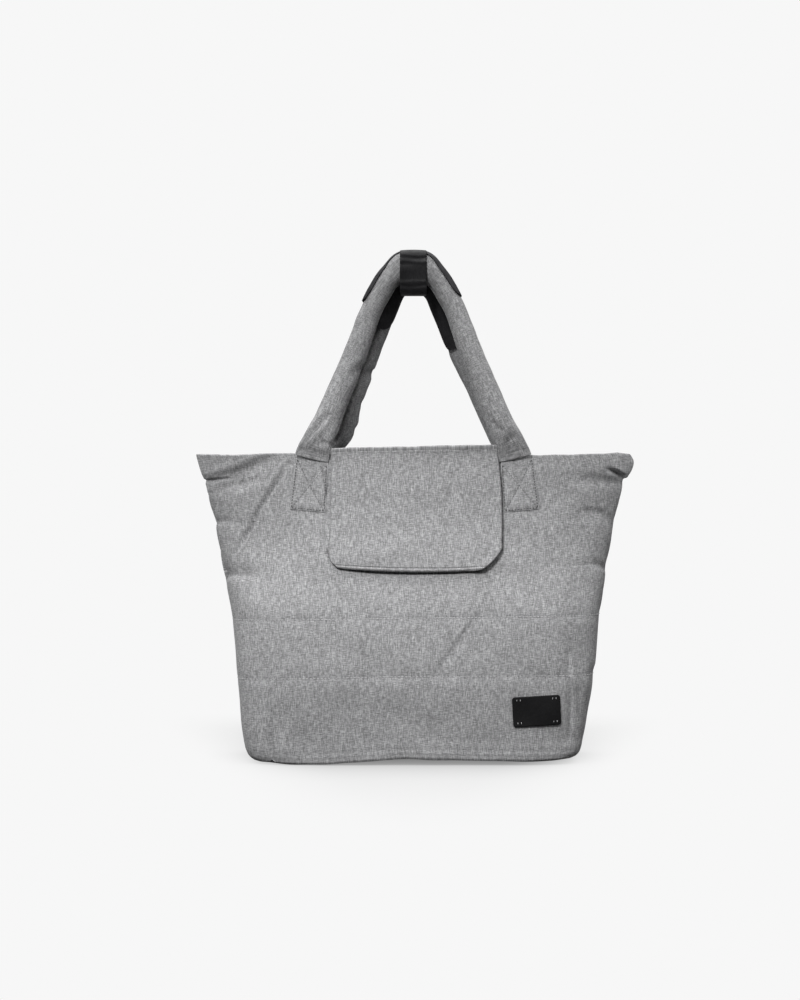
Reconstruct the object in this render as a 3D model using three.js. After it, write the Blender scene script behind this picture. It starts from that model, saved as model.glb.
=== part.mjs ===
// A padded cloth tote bag standing on its base, in millimetres.
// +Z is up, +X is to the right as seen from the front, and the front faces -Y.
import * as THREE from "three";

// Which side of the bag a piece lies on, as the sign of its Y, and which leg, as the sign of its X
const FRONT = -1;
const BACK = 1;
const LEFT = -1;
const RIGHT = 1;

// Clearances and walls
const GAP = 0.3; // kept between pieces that are sewn or laid together
const WALL = 5; // padded wall of the panels and the base
const THINNEST_WALL = 2; // what is left of it where a fold is pinched at a wing tip
const SKIN = 2; // sewn tabs and the label
const SEAT = 0.6; // how far a tab or the label floats off the cloth under it

// The body, as level sections from the floor to the rim.
// left and right are half widths, depth is the half depth. flat makes the face straighter, round
// squares the sides (near 0) or brings them to a point (1), and lap is the share of the wall by
// which the two panels lie flat on each other at the side seam.
const SECTIONS = [
  { z: 0, left: 157, right: 155, depth: 58, flat: 7, round: 0.16, lap: 0 },
  { z: 1.5, left: 168, right: 166, depth: 64, flat: 7, round: 0.16, lap: 0 },
  { z: 5, left: 175.5, right: 173.5, depth: 68.5, flat: 7, round: 0.16, lap: 0 },
  { z: 12, left: 180.5, right: 178.5, depth: 71.5, flat: 7, round: 0.16, lap: 0 },
  { z: 24, left: 183.5, right: 182, depth: 73.5, flat: 6.5, round: 0.17, lap: 0 },
  { z: 50, left: 186.5, right: 186, depth: 75, flat: 6, round: 0.18, lap: 0 },
  { z: 90, left: 191, right: 192.5, depth: 76, flat: 5.5, round: 0.22, lap: 0 },
  { z: 151, left: 197, right: 200, depth: 73.5, flat: 5, round: 0.32, lap: 0 },
  { z: 204, left: 207, right: 208, depth: 62, flat: 3.6, round: 0.45, lap: 0.1 },
  { z: 257, left: 217, right: 217.5, depth: 47.5, flat: 2.9, round: 0.65, lap: 0.4 },
  { z: 290, left: 226, right: 225, depth: 38, flat: 2.5, round: 0.85, lap: 0.8 },
  { z: 300, left: 229, right: 228, depth: 35, flat: 2.4, round: 0.9, lap: 0.9 },
  { z: 312, left: 233, right: 236, depth: 31.5, flat: 2.3, round: 0.95, lap: 1 },
  { z: 322, left: 236, right: 238.5, depth: 29, flat: 2.2, round: 1, lap: 1 },
  { z: 330, left: 238, right: 234, depth: 27.5, flat: 2.2, round: 1, lap: 1 },
];
const RIM = SECTIONS.at(-1).z;

// The base arches up between its two ends.
const ARCH = { rise: 6, halfSpan: 115, fadeHeight: 60 };
const BASE_INSET = 2; // the base panel inside the lower edge of the walls
const BASE_RINGS = [0.33, 0.66, 1]; // share of the base outline at each ring of points

// Rows of stitching across the panels, the uppermost one under the hem
const QUILT_LINES = [90, 151, 204, 257, 300];
const QUILT = { sink: 1.3, reach: 8 };
const PANEL_ROWS = { plain: [0, 1.5, 5, 12, 24], steps: [0.3, 0.7, 0.9, 1] };
const PANEL_COLUMNS = { front: 30, back: 22 };
const OUTLINE_SAMPLES = 400; // steps along a section when its points are spaced out

// Folds pressed into the front, each a valley from one place to another.
const FRONT_FOLDS = [
  { fromX: -232, fromZ: 298, toX: -203, toZ: 299, width: 6, deep: 4 }, // pinch under the left wing
  { fromX: -206, fromZ: 300, toX: -150, toZ: 325, width: 10, deep: 4 }, // along the left hem
  { fromX: -137, fromZ: 314, toX: -188, toZ: 226, width: 10, deep: 4 }, // from the left tab down
  { fromX: 200, fromZ: 313, toX: 230, toZ: 301, width: 7, deep: 5 }, // pinch under the right wing
  { fromX: 92, fromZ: 182, toX: 35, toZ: 107, width: 9, deep: 3 }, // across the lower right
];

// The flap, followed from its sewn edge inside the back rim, over the mouth and down the front.
// share is 1 at the back of the bag, -1 at the front and 0 in the middle, and off is the distance
// from the body's outer face to the middle of the flap's padding.
const FLAP_ROWS = [
  { share: 1, z: 308, halfWidth: 85, off: -8 },
  { share: 1, z: 322, halfWidth: 85, off: -9.8 },
  { share: 1, z: 331, halfWidth: 85, off: -11 },
  { share: 0.8, z: 335.5, halfWidth: 85, off: -10 },
  { share: 0.3, z: 336.5, halfWidth: 86, off: -4 },
  { share: -0.3, z: 336.5, halfWidth: 86.5, off: 2 },
  { share: -0.8, z: 336, halfWidth: 87.2, off: 6 },
  { share: -0.96, z: 333, halfWidth: 87.6, off: 6 },
  { share: -1, z: 326, halfWidth: 88.8, off: 5.6 },
  { share: -1, z: 290, halfWidth: 91, off: 4.4 },
  { share: -1, z: 255, halfWidth: 92, off: 4.2 },
  { share: -1, z: 232, halfWidth: 92, off: 4.2 },
  { share: -1, z: 218, halfWidth: 92, off: 4.2 },
  { share: -1, z: 211, halfWidth: 92, off: 4 },
  { share: -1, z: 208, halfWidth: 92, off: 3.6 },
];
const FLAP = {
  thick: 7, edge: 4, edgePower: 6, hemShare: 0.1, hemPower: 3, // padding, thinned along the edges
  cornerRadius: 20, bow: 3, // lower edge
  columns: 12, steps: 19,
};

// One leg of a handle, from its tab to the top of the bag.
// wide lies in the plane of the loop and deep across it. backLeft and backRight say how much
// nearer to the middle the back handle's legs hang, and lean how far its left leg leans forward.
const HANDLE_ROWS = [
  { x: 110.5, z: 323.5, y: 33.6, wide: 35, deep: 7, backLeft: 0, backRight: 0, lean: 0 },
  { x: 108.5, z: 330.5, y: 34, wide: 33.5, deep: 8.5, backLeft: 0, backRight: 0, lean: 0 },
  { x: 104.2, z: 341.5, y: 34.6, wide: 31, deep: 13, backLeft: 10, backRight: 0, lean: 0 },
  { x: 94.5, z: 360, y: 34, wide: 30, deep: 22, backLeft: 16, backRight: 0, lean: 9 },
  { x: 80.5, z: 392, y: 31, wide: 29, deep: 24, backLeft: 11.5, backRight: 1, lean: 18 },
  { x: 58.5, z: 445, y: 25, wide: 28, deep: 24, backLeft: 9, backRight: 5, lean: 17 },
  { x: 45, z: 480, y: 19, wide: 28, deep: 24, backLeft: 7.5, backRight: 4.2, lean: 8 },
  { x: 29.8, z: 508.5, y: 15, wide: 30, deep: 24, backLeft: 0, backRight: 0, lean: 0 },
  { x: 15, z: 524.5, y: 14.5, wide: 37, deep: 24, backLeft: 0, backRight: 0, lean: 0 },
  { x: 0, z: 527.5, y: 14.5, wide: 38, deep: 24, backLeft: 0, backRight: 0, lean: 0 },
];
const HANDLE_LEAN = -1.5; // both handles stand a little to the left of the middle
const HANDLE = { sides: 12, stepsPerRow: 2 };

// Leather saddle on the inner side of each handle's top, and the cuff round both handles.
// A reach is a number of steps along the handle from its top.
const PATCH = {
  halfAngle: 135, endNarrowing: 0.5, endPower: 3, thick: 1.4, float: 0.8, columns: 12,
};
const PATCH_REACH = { front: { left: 5, right: 5 }, back: { left: 7, right: 8 } };
const CUFF = { reachSteps: 2, thick: 1.6, float: 3.1, squareness: 5, sides: 20 };

// A sewn handle end, as its four corners on the right of the front
const TAB_CORNERS = {
  innerLow: { x: 95.5, z: 267 },
  outerLow: { x: 134, z: 270.5 },
  innerHigh: { x: 93.8, z: 316 },
  outerHigh: { x: 127.5, z: 325.8 },
};
const TAB_CELLS = 4;

// The leather label on the lower right of the front
const LABEL = {
  x: 129, z: 56, width: 51, height: 32, turnDegrees: 4, columns: 6,
  cornerRadius: 3.5, cornerSteps: [-1, -0.7, 0],
};

const smooth = (t) => t * t * (3 - 2 * t);
const clamp01 = (t) => Math.min(1, Math.max(0, t));
const range = (count) => Array.from({ length: count }, (_, i) => i);

// A named column of a table at a height, along a smooth curve through the rows.
function lookup(rows, column, z) {
  const last = rows.length - 1;
  const found = rows.findIndex((row) => row.z >= z);
  const upper = found < 0 ? last : Math.max(1, found);
  const lower = upper - 1;
  const slope = (i) => {
    const below = rows[Math.max(0, i - 1)];
    const above = rows[Math.min(last, i + 1)];
    return (above[column] - below[column]) / (above.z - below.z);
  };
  const span = rows[upper].z - rows[lower].z;
  const t = clamp01((z - rows[lower].z) / span);
  const rise = smooth(t);
  const startPull = t * (1 - t) * (1 - t) * span * slope(lower);
  const endPull = t * t * (1 - t) * span * slope(upper);
  return rows[lower][column] * (1 - rise) + rows[upper][column] * rise + startPull - endPull;
}

// A smooth curve through the rows of a table, by two or three of its columns.
function curveThrough(rows, ...columns) {
  const points = rows.map((row) => new THREE.Vector3(...columns.map((column) => row[column])));
  return new THREE.CatmullRomCurve3(points, false, "catmullrom");
}

const section = (column, z) => lookup(SECTIONS, column, Math.min(z, RIM));
const seamDepth = (z) => GAP / 2 + WALL * section("lap", z);
const halfWidth = (x, z) => section(x < 0 ? "left" : "right", z);

// Half depth of the body's outer face at a place on the front or the back.
function faceDepth(x, z) {
  const share = Math.min(1, Math.abs(x) / halfWidth(x, z));
  const fullness = (1 - share ** section("flat", z)) ** section("round", z);
  return section("depth", z) * fullness + seamDepth(z);
}

const archLift = (x, z) =>
  ARCH.rise * (1 - smooth(clamp01(Math.abs(x) / ARCH.halfSpan))) *
  (1 - smooth(clamp01(z / ARCH.fadeHeight)));

// Points along the front half of a level section, evenly spaced from seam to seam.
function sectionOutline(z, columns) {
  const samples = OUTLINE_SAMPLES;
  const curve = range(samples + 1).map((i) => {
    const share = Math.sin((i / samples - 0.5) * Math.PI);
    const x = share * halfWidth(share, z);
    return new THREE.Vector2(x, -faceDepth(x, z));
  });
  const lengths = [0];
  for (let i = 1; i <= samples; i++) {
    lengths.push(lengths[i - 1] + curve[i].distanceTo(curve[i - 1]));
  }
  return range(columns + 1).map((i) => {
    const wanted = (lengths.at(-1) * i) / columns;
    const passed = lengths.findIndex((length) => length >= wanted);
    const next = passed < 0 ? samples : Math.max(1, passed);
    const t = (wanted - lengths[next - 1]) / (lengths[next] - lengths[next - 1]);
    return curve[next - 1].clone().lerp(curve[next], clamp01(t));
  });
}

// How far the cloth sinks at a place, from the stitch lines and the folds.
function sinkAt(x, z, folds) {
  let sink = 0;
  for (const line of QUILT_LINES) {
    sink = Math.max(sink, QUILT.sink * Math.exp(-(((z - line) / QUILT.reach) ** 2)));
  }
  const place = new THREE.Vector2(x, z);
  for (const fold of folds) {
    const from = new THREE.Vector2(fold.fromX, fold.fromZ);
    const along = new THREE.Vector2(fold.toX, fold.toZ).sub(from);
    const t = clamp01(place.clone().sub(from).dot(along) / along.lengthSq());
    const away = place.distanceTo(from.addScaledVector(along, t)) / fold.width;
    sink += fold.deep * Math.exp(-away * away);
  }
  return sink;
}

// The direction out of a grid of points at one of them, from its neighbours.
function gridNormal(grid, r, c) {
  const row = grid[r];
  const across = row[Math.min(c + 1, row.length - 1)].clone().sub(row[Math.max(c - 1, 0)]);
  const up = grid[Math.min(r + 1, grid.length - 1)][c].clone().sub(grid[Math.max(r - 1, 0)][c]);
  return across.cross(up).normalize();
}

// A geometry from points and triangles, turned so that its faces point outwards.
function closedGeometry(points, faces) {
  let volume = 0;
  for (let i = 0; i < faces.length; i += 3) {
    const [a, b, c] = [points[faces[i]], points[faces[i + 1]], points[faces[i + 2]]];
    volume += a.dot(b.clone().cross(c));
  }
  const geometry = new THREE.BufferGeometry().setFromPoints(points);
  return geometry.setIndex(volume < 0 ? faces.reverse() : faces);
}

// A solid between two grids of points, closed along its rim.
// A grid that wraps joins its last column to its first, as a sleeve does.
function slab(outer, inner, wraps = false) {
  const rows = outer.length;
  const columns = outer[0].length;
  const cells = wraps ? columns : columns - 1;
  const faces = [];
  const at = (layer, r, c) => (layer * rows + r) * columns + (c % columns);
  const quad = (a, b, c, d) => faces.push(a, b, c, a, c, d);
  for (let c = 0; c < cells; c++) {
    for (let r = 0; r < rows - 1; r++) {
      quad(at(0, r, c), at(0, r, c + 1), at(0, r + 1, c + 1), at(0, r + 1, c));
      quad(at(1, r, c), at(1, r + 1, c), at(1, r + 1, c + 1), at(1, r, c + 1));
    }
    quad(at(0, 0, c), at(1, 0, c), at(1, 0, c + 1), at(0, 0, c + 1));
    const top = rows - 1;
    quad(at(0, top, c + 1), at(1, top, c + 1), at(1, top, c), at(0, top, c));
  }
  for (let r = 0; r < rows - 1 && !wraps; r++) {
    quad(at(0, r + 1, 0), at(1, r + 1, 0), at(1, r, 0), at(0, r, 0));
    quad(at(0, r, cells), at(1, r, cells), at(1, r + 1, cells), at(0, r + 1, cells));
  }
  return closedGeometry([...outer.flat(), ...inner.flat()], faces);
}

// A solid through rings of points, with a cap at each end.
function loft(rings) {
  const sides = rings[0].length;
  const points = rings.flat();
  const faces = [];
  for (let r = 0; r < rings.length - 1; r++) {
    for (let k = 0; k < sides; k++) {
      const next = (k + 1) % sides;
      const [a, b] = [r * sides + k, r * sides + next];
      faces.push(a, b, b + sides, a, b + sides, a + sides);
    }
  }
  const capCentre = (ring) =>
    ring.reduce((sum, point) => sum.add(point), new THREE.Vector3()).divideScalar(sides);
  const lastRing = (rings.length - 1) * sides;
  points.push(capCentre(rings[0]), capCentre(rings.at(-1)));
  for (let k = 0; k < sides; k++) {
    const next = (k + 1) % sides;
    faces.push(points.length - 2, next, k);
    faces.push(points.length - 1, lastRing + k, lastRing + next);
  }
  return closedGeometry(points, faces);
}

// The front wall with half of each side, or its mirror image at the back.
function panel(face, columns, folds) {
  const heights = [...PANEL_ROWS.plain];
  for (const line of [...QUILT_LINES, RIM]) {
    const from = heights.at(-1);
    heights.push(...PANEL_ROWS.steps.map((step) => from + (line - from) * step));
  }
  const base = heights.map((z) =>
    sectionOutline(z, columns).map(
      (point) => new THREE.Vector3(point.x, point.y, z + archLift(point.x, z)),
    ),
  );
  const layer = (depth, wallLeft) =>
    base.map((row, r) =>
      row.map((point, c) => {
        const sink = sinkAt(point.x, heights[r], folds);
        const moved = point.clone().addScaledVector(gridNormal(base, r, c), -sink - depth);
        const leastDepth = GAP / 2 + wallLeft * section("lap", heights[r]);
        moved.y = Math.min(moved.y, -leastDepth) * -face;
        return moved;
      }),
    );
  return slab(layer(0, THINNEST_WALL), layer(WALL, 0));
}

// The floor of the bag, a padded plate that follows the arch.
function basePanel() {
  const half = sectionOutline(0, PANEL_COLUMNS.back);
  const outline = [...half, ...half.slice(1, -1).reverse().map((p) => new THREE.Vector2(p.x, -p.y))];
  const first = SECTIONS[0];
  const shrinkX = 1 - BASE_INSET / first.left;
  const shrinkY = 1 - BASE_INSET / first.depth;
  const ring = (share, height) =>
    outline.map((point) => {
      const x = point.x * share * shrinkX;
      return new THREE.Vector3(x, point.y * share * shrinkY, height + archLift(x, 0));
    });
  const under = BASE_RINGS.map((share) => ring(share, 0));
  const above = BASE_RINGS.map((share) => ring(share, WALL)).reverse();
  return loft([...under, ...above]);
}

// The padded flap, thinner along its edges and rounded at its lower corners.
function closureFlap() {
  const course = curveThrough(FLAP_ROWS, "share", "z");
  const sizes = curveThrough(FLAP_ROWS, "halfWidth", "off");
  const lowest = FLAP_ROWS.at(-1).z;
  const middle = range(FLAP.steps + 1).map((i) => {
    const along = i / FLAP.steps;
    const { x: share, y: level } = course.getPoint(along);
    const { x: halfWidth, y: off } = sizes.getPoint(along);
    const corner = share < 0 ? clamp01(1 - (level - lowest) / FLAP.cornerRadius) : 0;
    const reach = halfWidth - FLAP.cornerRadius * (1 - Math.sqrt(1 - corner * corner));
    return range(FLAP.columns + 1).map((c) => {
      const across = (2 * c) / FLAP.columns - 1;
      const bow = FLAP.bow * (1 - across * across) * smooth(clamp01(2 * along - 1));
      const x = across * reach;
      const z = level - bow;
      return new THREE.Vector3(x, share * (faceDepth(x, z) + off), z);
    });
  });
  const layer = (side) =>
    middle.map((row, r) =>
      row.map((point, c) => {
        const across = Math.abs((2 * c) / FLAP.columns - 1);
        const toEnd = Math.min(r, FLAP.steps - r) / FLAP.steps;
        const hem = clamp01(1 - toEnd / FLAP.hemShare);
        const thinning = Math.max(across ** FLAP.edgePower, hem ** FLAP.hemPower);
        const thick = FLAP.thick + (FLAP.edge - FLAP.thick) * thinning;
        return point.clone().addScaledVector(gridNormal(middle, r, c), (side * thick) / 2);
      }),
    );
  return slab(layer(1), layer(-1));
}

// The line of a handle from its left tab to its right one, and its width and depth along it.
function handlePath(face) {
  const leg = (side) =>
    HANDLE_ROWS.map((row) => {
      const hang = side === LEFT ? row.backLeft : row.backRight;
      const x = side * (face === BACK ? row.x - hang : row.x) + HANDLE_LEAN;
      const leans = face === BACK && side === LEFT;
      return { ...row, x, y: face * row.y - (leans ? row.lean : 0) };
    });
  const rows = [...leg(LEFT), ...leg(RIGHT).slice(0, -1).reverse()];
  return {
    face,
    line: curveThrough(rows, "x", "y", "z"),
    sizes: curveThrough(rows, "wide", "deep"),
    steps: (rows.length - 1) * HANDLE.stepsPerRow,
  };
}

// Where a handle runs at a share of its length, with its two cross axes and its half sizes.
function handleFrame(path, along) {
  const size = path.sizes.getPoint(along);
  const tangent = path.line.getTangent(along);
  const deepAxis = new THREE.Vector3(0, 1, 0).addScaledVector(tangent, -tangent.y).normalize();
  return {
    centre: path.line.getPoint(along),
    wideAxis: tangent.clone().cross(deepAxis),
    deepAxis,
    halfWide: size.x / 2,
    halfDeep: size.y / 2,
  };
}

// A point on a handle's skin, at an angle round it and a distance off it.
function onHandle(frame, angle, off) {
  return frame.centre.clone()
    .addScaledVector(frame.wideAxis, Math.cos(angle) * (frame.halfWide + off))
    .addScaledVector(frame.deepAxis, Math.sin(angle) * (frame.halfDeep + off));
}

function handle(path) {
  return loft(
    range(path.steps + 1).map((i) => {
      const frame = handleFrame(path, i / path.steps);
      return range(HANDLE.sides).map((k) => onHandle(frame, (k / HANDLE.sides) * 2 * Math.PI, 0));
    }),
  );
}

// The leather saddle: wide round the handle at the top, narrowing to a rounded end on each leg.
function gripPatch(path, reach) {
  const inward = (-path.face * Math.PI) / 2;
  const layer = (off) =>
    range(reach.left + reach.right + 1).map((i) => {
      const step = i - reach.left;
      const frame = handleFrame(path, 0.5 + step / path.steps);
      const share = step < 0 ? -step / reach.left : step / reach.right;
      const narrowing = 1 - PATCH.endNarrowing * share ** PATCH.endPower;
      const half = THREE.MathUtils.degToRad(PATCH.halfAngle) * narrowing;
      return range(PATCH.columns + 1).map((c) =>
        onHandle(frame, inward + half * ((2 * c) / PATCH.columns - 1), off),
      );
    });
  return slab(layer(PATCH.float + PATCH.thick), layer(PATCH.float));
}

// The cuff: a squared leather sleeve round both handles, arched with them, its sides upright.
function gripCuff(path) {
  const layer = (off) =>
    range(2 * CUFF.reachSteps + 1).map((i) => {
      const frame = handleFrame(path, 0.5 + (i - CUFF.reachSteps) / path.steps);
      const halfDeep = Math.abs(frame.centre.y) + frame.halfDeep + off;
      const centre = frame.centre.clone().setY(0);
      const halfHigh = (frame.halfWide + off) / frame.wideAxis.z;
      return range(CUFF.sides).map((k) => {
        const angle = (k / CUFF.sides) * 2 * Math.PI;
        const bend = (value) => Math.sign(value) * Math.abs(value) ** (2 / CUFF.squareness);
        const away = [0, bend(Math.sin(angle)) * halfDeep, bend(Math.cos(angle)) * halfHigh];
        return centre.clone().add(new THREE.Vector3(...away));
      });
    });
  return slab(layer(CUFF.float + CUFF.thick), layer(CUFF.float), true);
}

// A thin piece lying on the front or the back of the body, from a grid of places on it.
function onBody(face, places) {
  const layer = (off) =>
    places.map((row) =>
      row.map(({ x, z }) => new THREE.Vector3(x, face * (faceDepth(x, z) + off), z)),
    );
  return slab(layer(SEAT + SKIN), layer(SEAT));
}

function handleTab(face, side) {
  const mix = (a, b, t) => ({ x: a.x + (b.x - a.x) * t, z: a.z + (b.z - a.z) * t });
  const { innerLow, outerLow, innerHigh, outerHigh } = TAB_CORNERS;
  const places = range(TAB_CELLS + 1).map((r) =>
    range(TAB_CELLS + 1).map((c) => {
      const low = mix(innerLow, outerLow, c / TAB_CELLS);
      const high = mix(innerHigh, outerHigh, c / TAB_CELLS);
      const place = mix(low, high, r / TAB_CELLS);
      return { x: side * place.x, z: place.z };
    }),
  );
  return onBody(face, places);
}

function leatherLabel() {
  const radius = LABEL.cornerRadius;
  const halfHeight = LABEL.height / 2;
  const straight = halfHeight - radius;
  const levels = LABEL.cornerSteps.map((share) => share * radius - straight);
  const heights = [...levels, 0, ...levels.map((level) => -level).reverse()];
  const turn = THREE.MathUtils.degToRad(LABEL.turnDegrees);
  const places = heights.map((height) => {
    const past = Math.max(0, Math.abs(height) - straight);
    const reach = LABEL.width / 2 - radius + Math.sqrt(radius * radius - past * past);
    return range(LABEL.columns + 1).map((c) => {
      const across = reach * ((2 * c) / LABEL.columns - 1);
      return {
        x: LABEL.x + across * Math.cos(turn) - height * Math.sin(turn),
        z: LABEL.z + across * Math.sin(turn) + height * Math.cos(turn),
      };
    });
  });
  return onBody(FRONT, places);
}

// Heathered grey cloth and black leather, as in the photo
const cloth = () => new THREE.MeshStandardMaterial({ color: 0x9b9b9e, roughness: 0.95, metalness: 0 });
const leather = () => new THREE.MeshStandardMaterial({ color: 0x252528, roughness: 0.5, metalness: 0 });

function piece(name, geometry, material) {
  const mesh = new THREE.Mesh(geometry, material);
  mesh.name = name;
  return mesh;
}

const body = new THREE.Group().add(
  piece("front_panel", panel(FRONT, PANEL_COLUMNS.front, FRONT_FOLDS), cloth()),
  piece("back_panel", panel(BACK, PANEL_COLUMNS.back, []), cloth()),
  piece("base_panel", basePanel(), cloth()),
  piece("closure_flap", closureFlap(), cloth()),
  piece("leather_label", leatherLabel(), leather()),
);

const frontPath = handlePath(FRONT);
const backPath = handlePath(BACK);
const handles = new THREE.Group().add(
  piece("front_handle", handle(frontPath), cloth()),
  piece("back_handle", handle(backPath), cloth()),
  piece("front_grip_patch", gripPatch(frontPath, PATCH_REACH.front), leather()),
  piece("back_grip_patch", gripPatch(backPath, PATCH_REACH.back), leather()),
  piece("grip_cuff", gripCuff(frontPath), leather()),
  piece("front_left_tab", handleTab(FRONT, LEFT), cloth()),
  piece("front_right_tab", handleTab(FRONT, RIGHT), cloth()),
  piece("back_left_tab", handleTab(BACK, LEFT), cloth()),
  piece("back_right_tab", handleTab(BACK, RIGHT), cloth()),
);

export default new THREE.Group().add(body, handles);
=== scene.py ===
# %% [markdown]
# # A padded tote bag of heathered grey cloth
# Two quilted walls are sewn together at the sides and round a padded base. A padded flap lies over
# the mouth, two soft tube handles are held together by a leather cuff, and a small leather label
# sits low on the front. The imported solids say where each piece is. Every piece is made again here,
# from sections and courses close to those of the solids, with many more points, so that it can
# carry folds, seams and stitches.

import bpy
import numpy as np
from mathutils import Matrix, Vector


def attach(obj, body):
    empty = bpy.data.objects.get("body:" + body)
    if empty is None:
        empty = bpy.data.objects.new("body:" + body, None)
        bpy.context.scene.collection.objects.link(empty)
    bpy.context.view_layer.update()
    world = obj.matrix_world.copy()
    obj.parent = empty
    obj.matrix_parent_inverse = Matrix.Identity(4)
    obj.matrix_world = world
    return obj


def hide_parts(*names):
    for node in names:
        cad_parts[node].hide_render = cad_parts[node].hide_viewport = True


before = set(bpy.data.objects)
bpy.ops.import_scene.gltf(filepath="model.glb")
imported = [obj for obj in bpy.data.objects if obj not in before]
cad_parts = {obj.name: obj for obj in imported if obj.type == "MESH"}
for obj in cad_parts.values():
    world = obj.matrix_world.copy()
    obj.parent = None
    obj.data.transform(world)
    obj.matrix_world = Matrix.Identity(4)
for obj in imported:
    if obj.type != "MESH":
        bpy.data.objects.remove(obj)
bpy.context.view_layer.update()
BODY = "root"
MM = 0.001
print("frame:", len(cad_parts), "nodes")

# %% [markdown]
# ## Camera
# The photograph was taken from straight in front, from far away and level with the middle of the
# picture, so upright edges stay upright and the lens needs next to no shift. One pixel covers
# 1.09 mm of the bag's middle plane.

# %% Camera
# Size of the photograph, and the place on it of the middle of the bag's base, in pixels
IMAGE = (800, 1000)
BASE_PIXEL = (414.5, 757)
PIXEL = 1.09 * MM
VIEW_DISTANCE = 2.4
EYE_HEIGHT = 0.28
SENSOR = 36


def add_object(name, data):
    """An object for a camera, a lamp or a mesh, placed in the scene."""
    thing = bpy.data.objects.new(name, data)
    bpy.context.scene.collection.objects.link(thing)
    return thing


frame_height = IMAGE[1] * PIXEL
view_centre_x = (IMAGE[0] / 2 - BASE_PIXEL[0]) * PIXEL
view_centre_z = (BASE_PIXEL[1] - IMAGE[1] / 2) * PIXEL
lens = bpy.data.cameras.new("photo_lens")
lens.sensor_fit = "VERTICAL"
lens.sensor_height = SENSOR
lens.lens = SENSOR * VIEW_DISTANCE / frame_height
lens.shift_x = view_centre_x / frame_height
lens.shift_y = (view_centre_z - EYE_HEIGHT) / frame_height
camera = add_object("photo_camera", lens)
camera.location = (0, -VIEW_DISTANCE, EYE_HEIGHT)
camera.rotation_euler = (np.pi / 2, 0, 0)
bpy.context.scene.camera = camera
shift = [round(value, 4) for value in (lens.shift_x, lens.shift_y)]
print("camera: lens", round(lens.lens, 1), "mm, shift", shift)

# %% [markdown]
# ## Shader helpers
# The sky, the floor and every material are trees of nodes. They could be drawn by hand in the
# shader editor. Here they are built in code, so that a change is one value, and short helpers keep
# the trees readable: one makes a node with some inputs set, one does a sum, one spreads a value
# over a new range, and one shows the camera something else than the other light meets.

# %% Shader helpers
def new_node(tree, kind, **inputs):
    """A node of a tree with some of its inputs set by name."""
    node = tree.nodes.new(kind)
    for name, value in inputs.items():
        node.inputs[name.replace("_", " ")].default_value = value
    return node


def plug(tree, value, socket):
    """Link an output to a socket, or set a plain value on it."""
    if isinstance(value, bpy.types.NodeSocket):
        tree.links.new(value, socket)
    else:
        socket.default_value = value


def sum_of(tree, operation, a, b=0.0):
    node = tree.nodes.new("ShaderNodeMath")
    node.operation = operation
    plug(tree, a, node.inputs[0])
    plug(tree, b, node.inputs[1])
    return node.outputs[0]


def spread_value(tree, value, low, high, to_low=0.0, to_high=1.0, ease="LINEAR"):
    node = tree.nodes.new("ShaderNodeMapRange")
    node.interpolation_type = ease
    for socket, given in zip(node.inputs[:5], (value, low, high, to_low, to_high)):
        plug(tree, given, socket)
    return node.outputs[0]


def blend_values(tree, share, a, b):
    node = tree.nodes.new("ShaderNodeMix")
    plug(tree, share, node.inputs[0])
    plug(tree, a, node.inputs[2])
    plug(tree, b, node.inputs[3])
    return node.outputs[0]


def split_place(tree, place):
    """The three values of a place or a direction."""
    node = tree.nodes.new("ShaderNodeSeparateXYZ")
    tree.links.new(place, node.inputs[0])
    return list(node.outputs)


def join_place(tree, x, y, z=0.0):
    node = tree.nodes.new("ShaderNodeCombineXYZ")
    for socket, value in zip(node.inputs, (x, y, z)):
        plug(tree, value, socket)
    return node.outputs[0]


def camera_sees(tree, seen, otherwise):
    """One shader for what the camera sees, and another for all other light."""
    path = tree.nodes.new("ShaderNodeLightPath")
    mix = tree.nodes.new("ShaderNodeMixShader")
    tree.links.new(path.outputs["Is Camera Ray"], mix.inputs[0])
    tree.links.new(otherwise, mix.inputs[1])
    tree.links.new(seen, mix.inputs[2])
    return mix.outputs[0]


# %% [markdown]
# ## Studio light
# The shading is soft: every handle is as bright on its upper side as on its front and dark
# underneath. A sky that is brightest overhead, like a large lamp with a cloth before it, gives most
# of the light. The flap throws a thin crisp dark line below and to its right, so a sun stands in
# front, halfway up and a little to the left, and a spot from the same side lifts the middle of the
# body. The camera sees a plain pale backdrop in place of the sky.

# %% Light and backdrop
WHITE = (1, 1, 1, 1)
BACKDROP = 0.93
SKY = {"horizon": 0.05, "overhead": 3.3, "power": 3.0}
KEY = {"strength": 1.12, "turn": (np.radians(52), 0, np.radians(-20)), "spread": np.radians(12)}
FILL = {"power": 38, "cone": np.radians(27), "blend": 1, "size": 0.15}
FILL_FROM = Vector((-0.45, -1.2, 1.0))
FILL_TOWARDS = Vector((-0.015, -0.06, 0.155))


def studio_world():
    world = bpy.data.worlds.new("studio")
    world.use_nodes = True
    tree = world.node_tree
    tree.nodes.clear()
    way = new_node(tree, "ShaderNodeTexCoord")
    _, _, height = split_place(tree, way.outputs["Generated"])
    steep = sum_of(tree, "POWER", height, SKY["power"])
    level = spread_value(tree, steep, 0.0, 1.0, SKY["horizon"], SKY["overhead"])
    sky = new_node(tree, "ShaderNodeBackground", Color=WHITE)
    tree.links.new(level, sky.inputs["Strength"])
    backdrop = new_node(tree, "ShaderNodeBackground", Color=WHITE, Strength=BACKDROP)
    out = new_node(tree, "ShaderNodeOutputWorld")
    tree.links.new(camera_sees(tree, backdrop.outputs[0], sky.outputs[0]), out.inputs[0])
    return world


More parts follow.
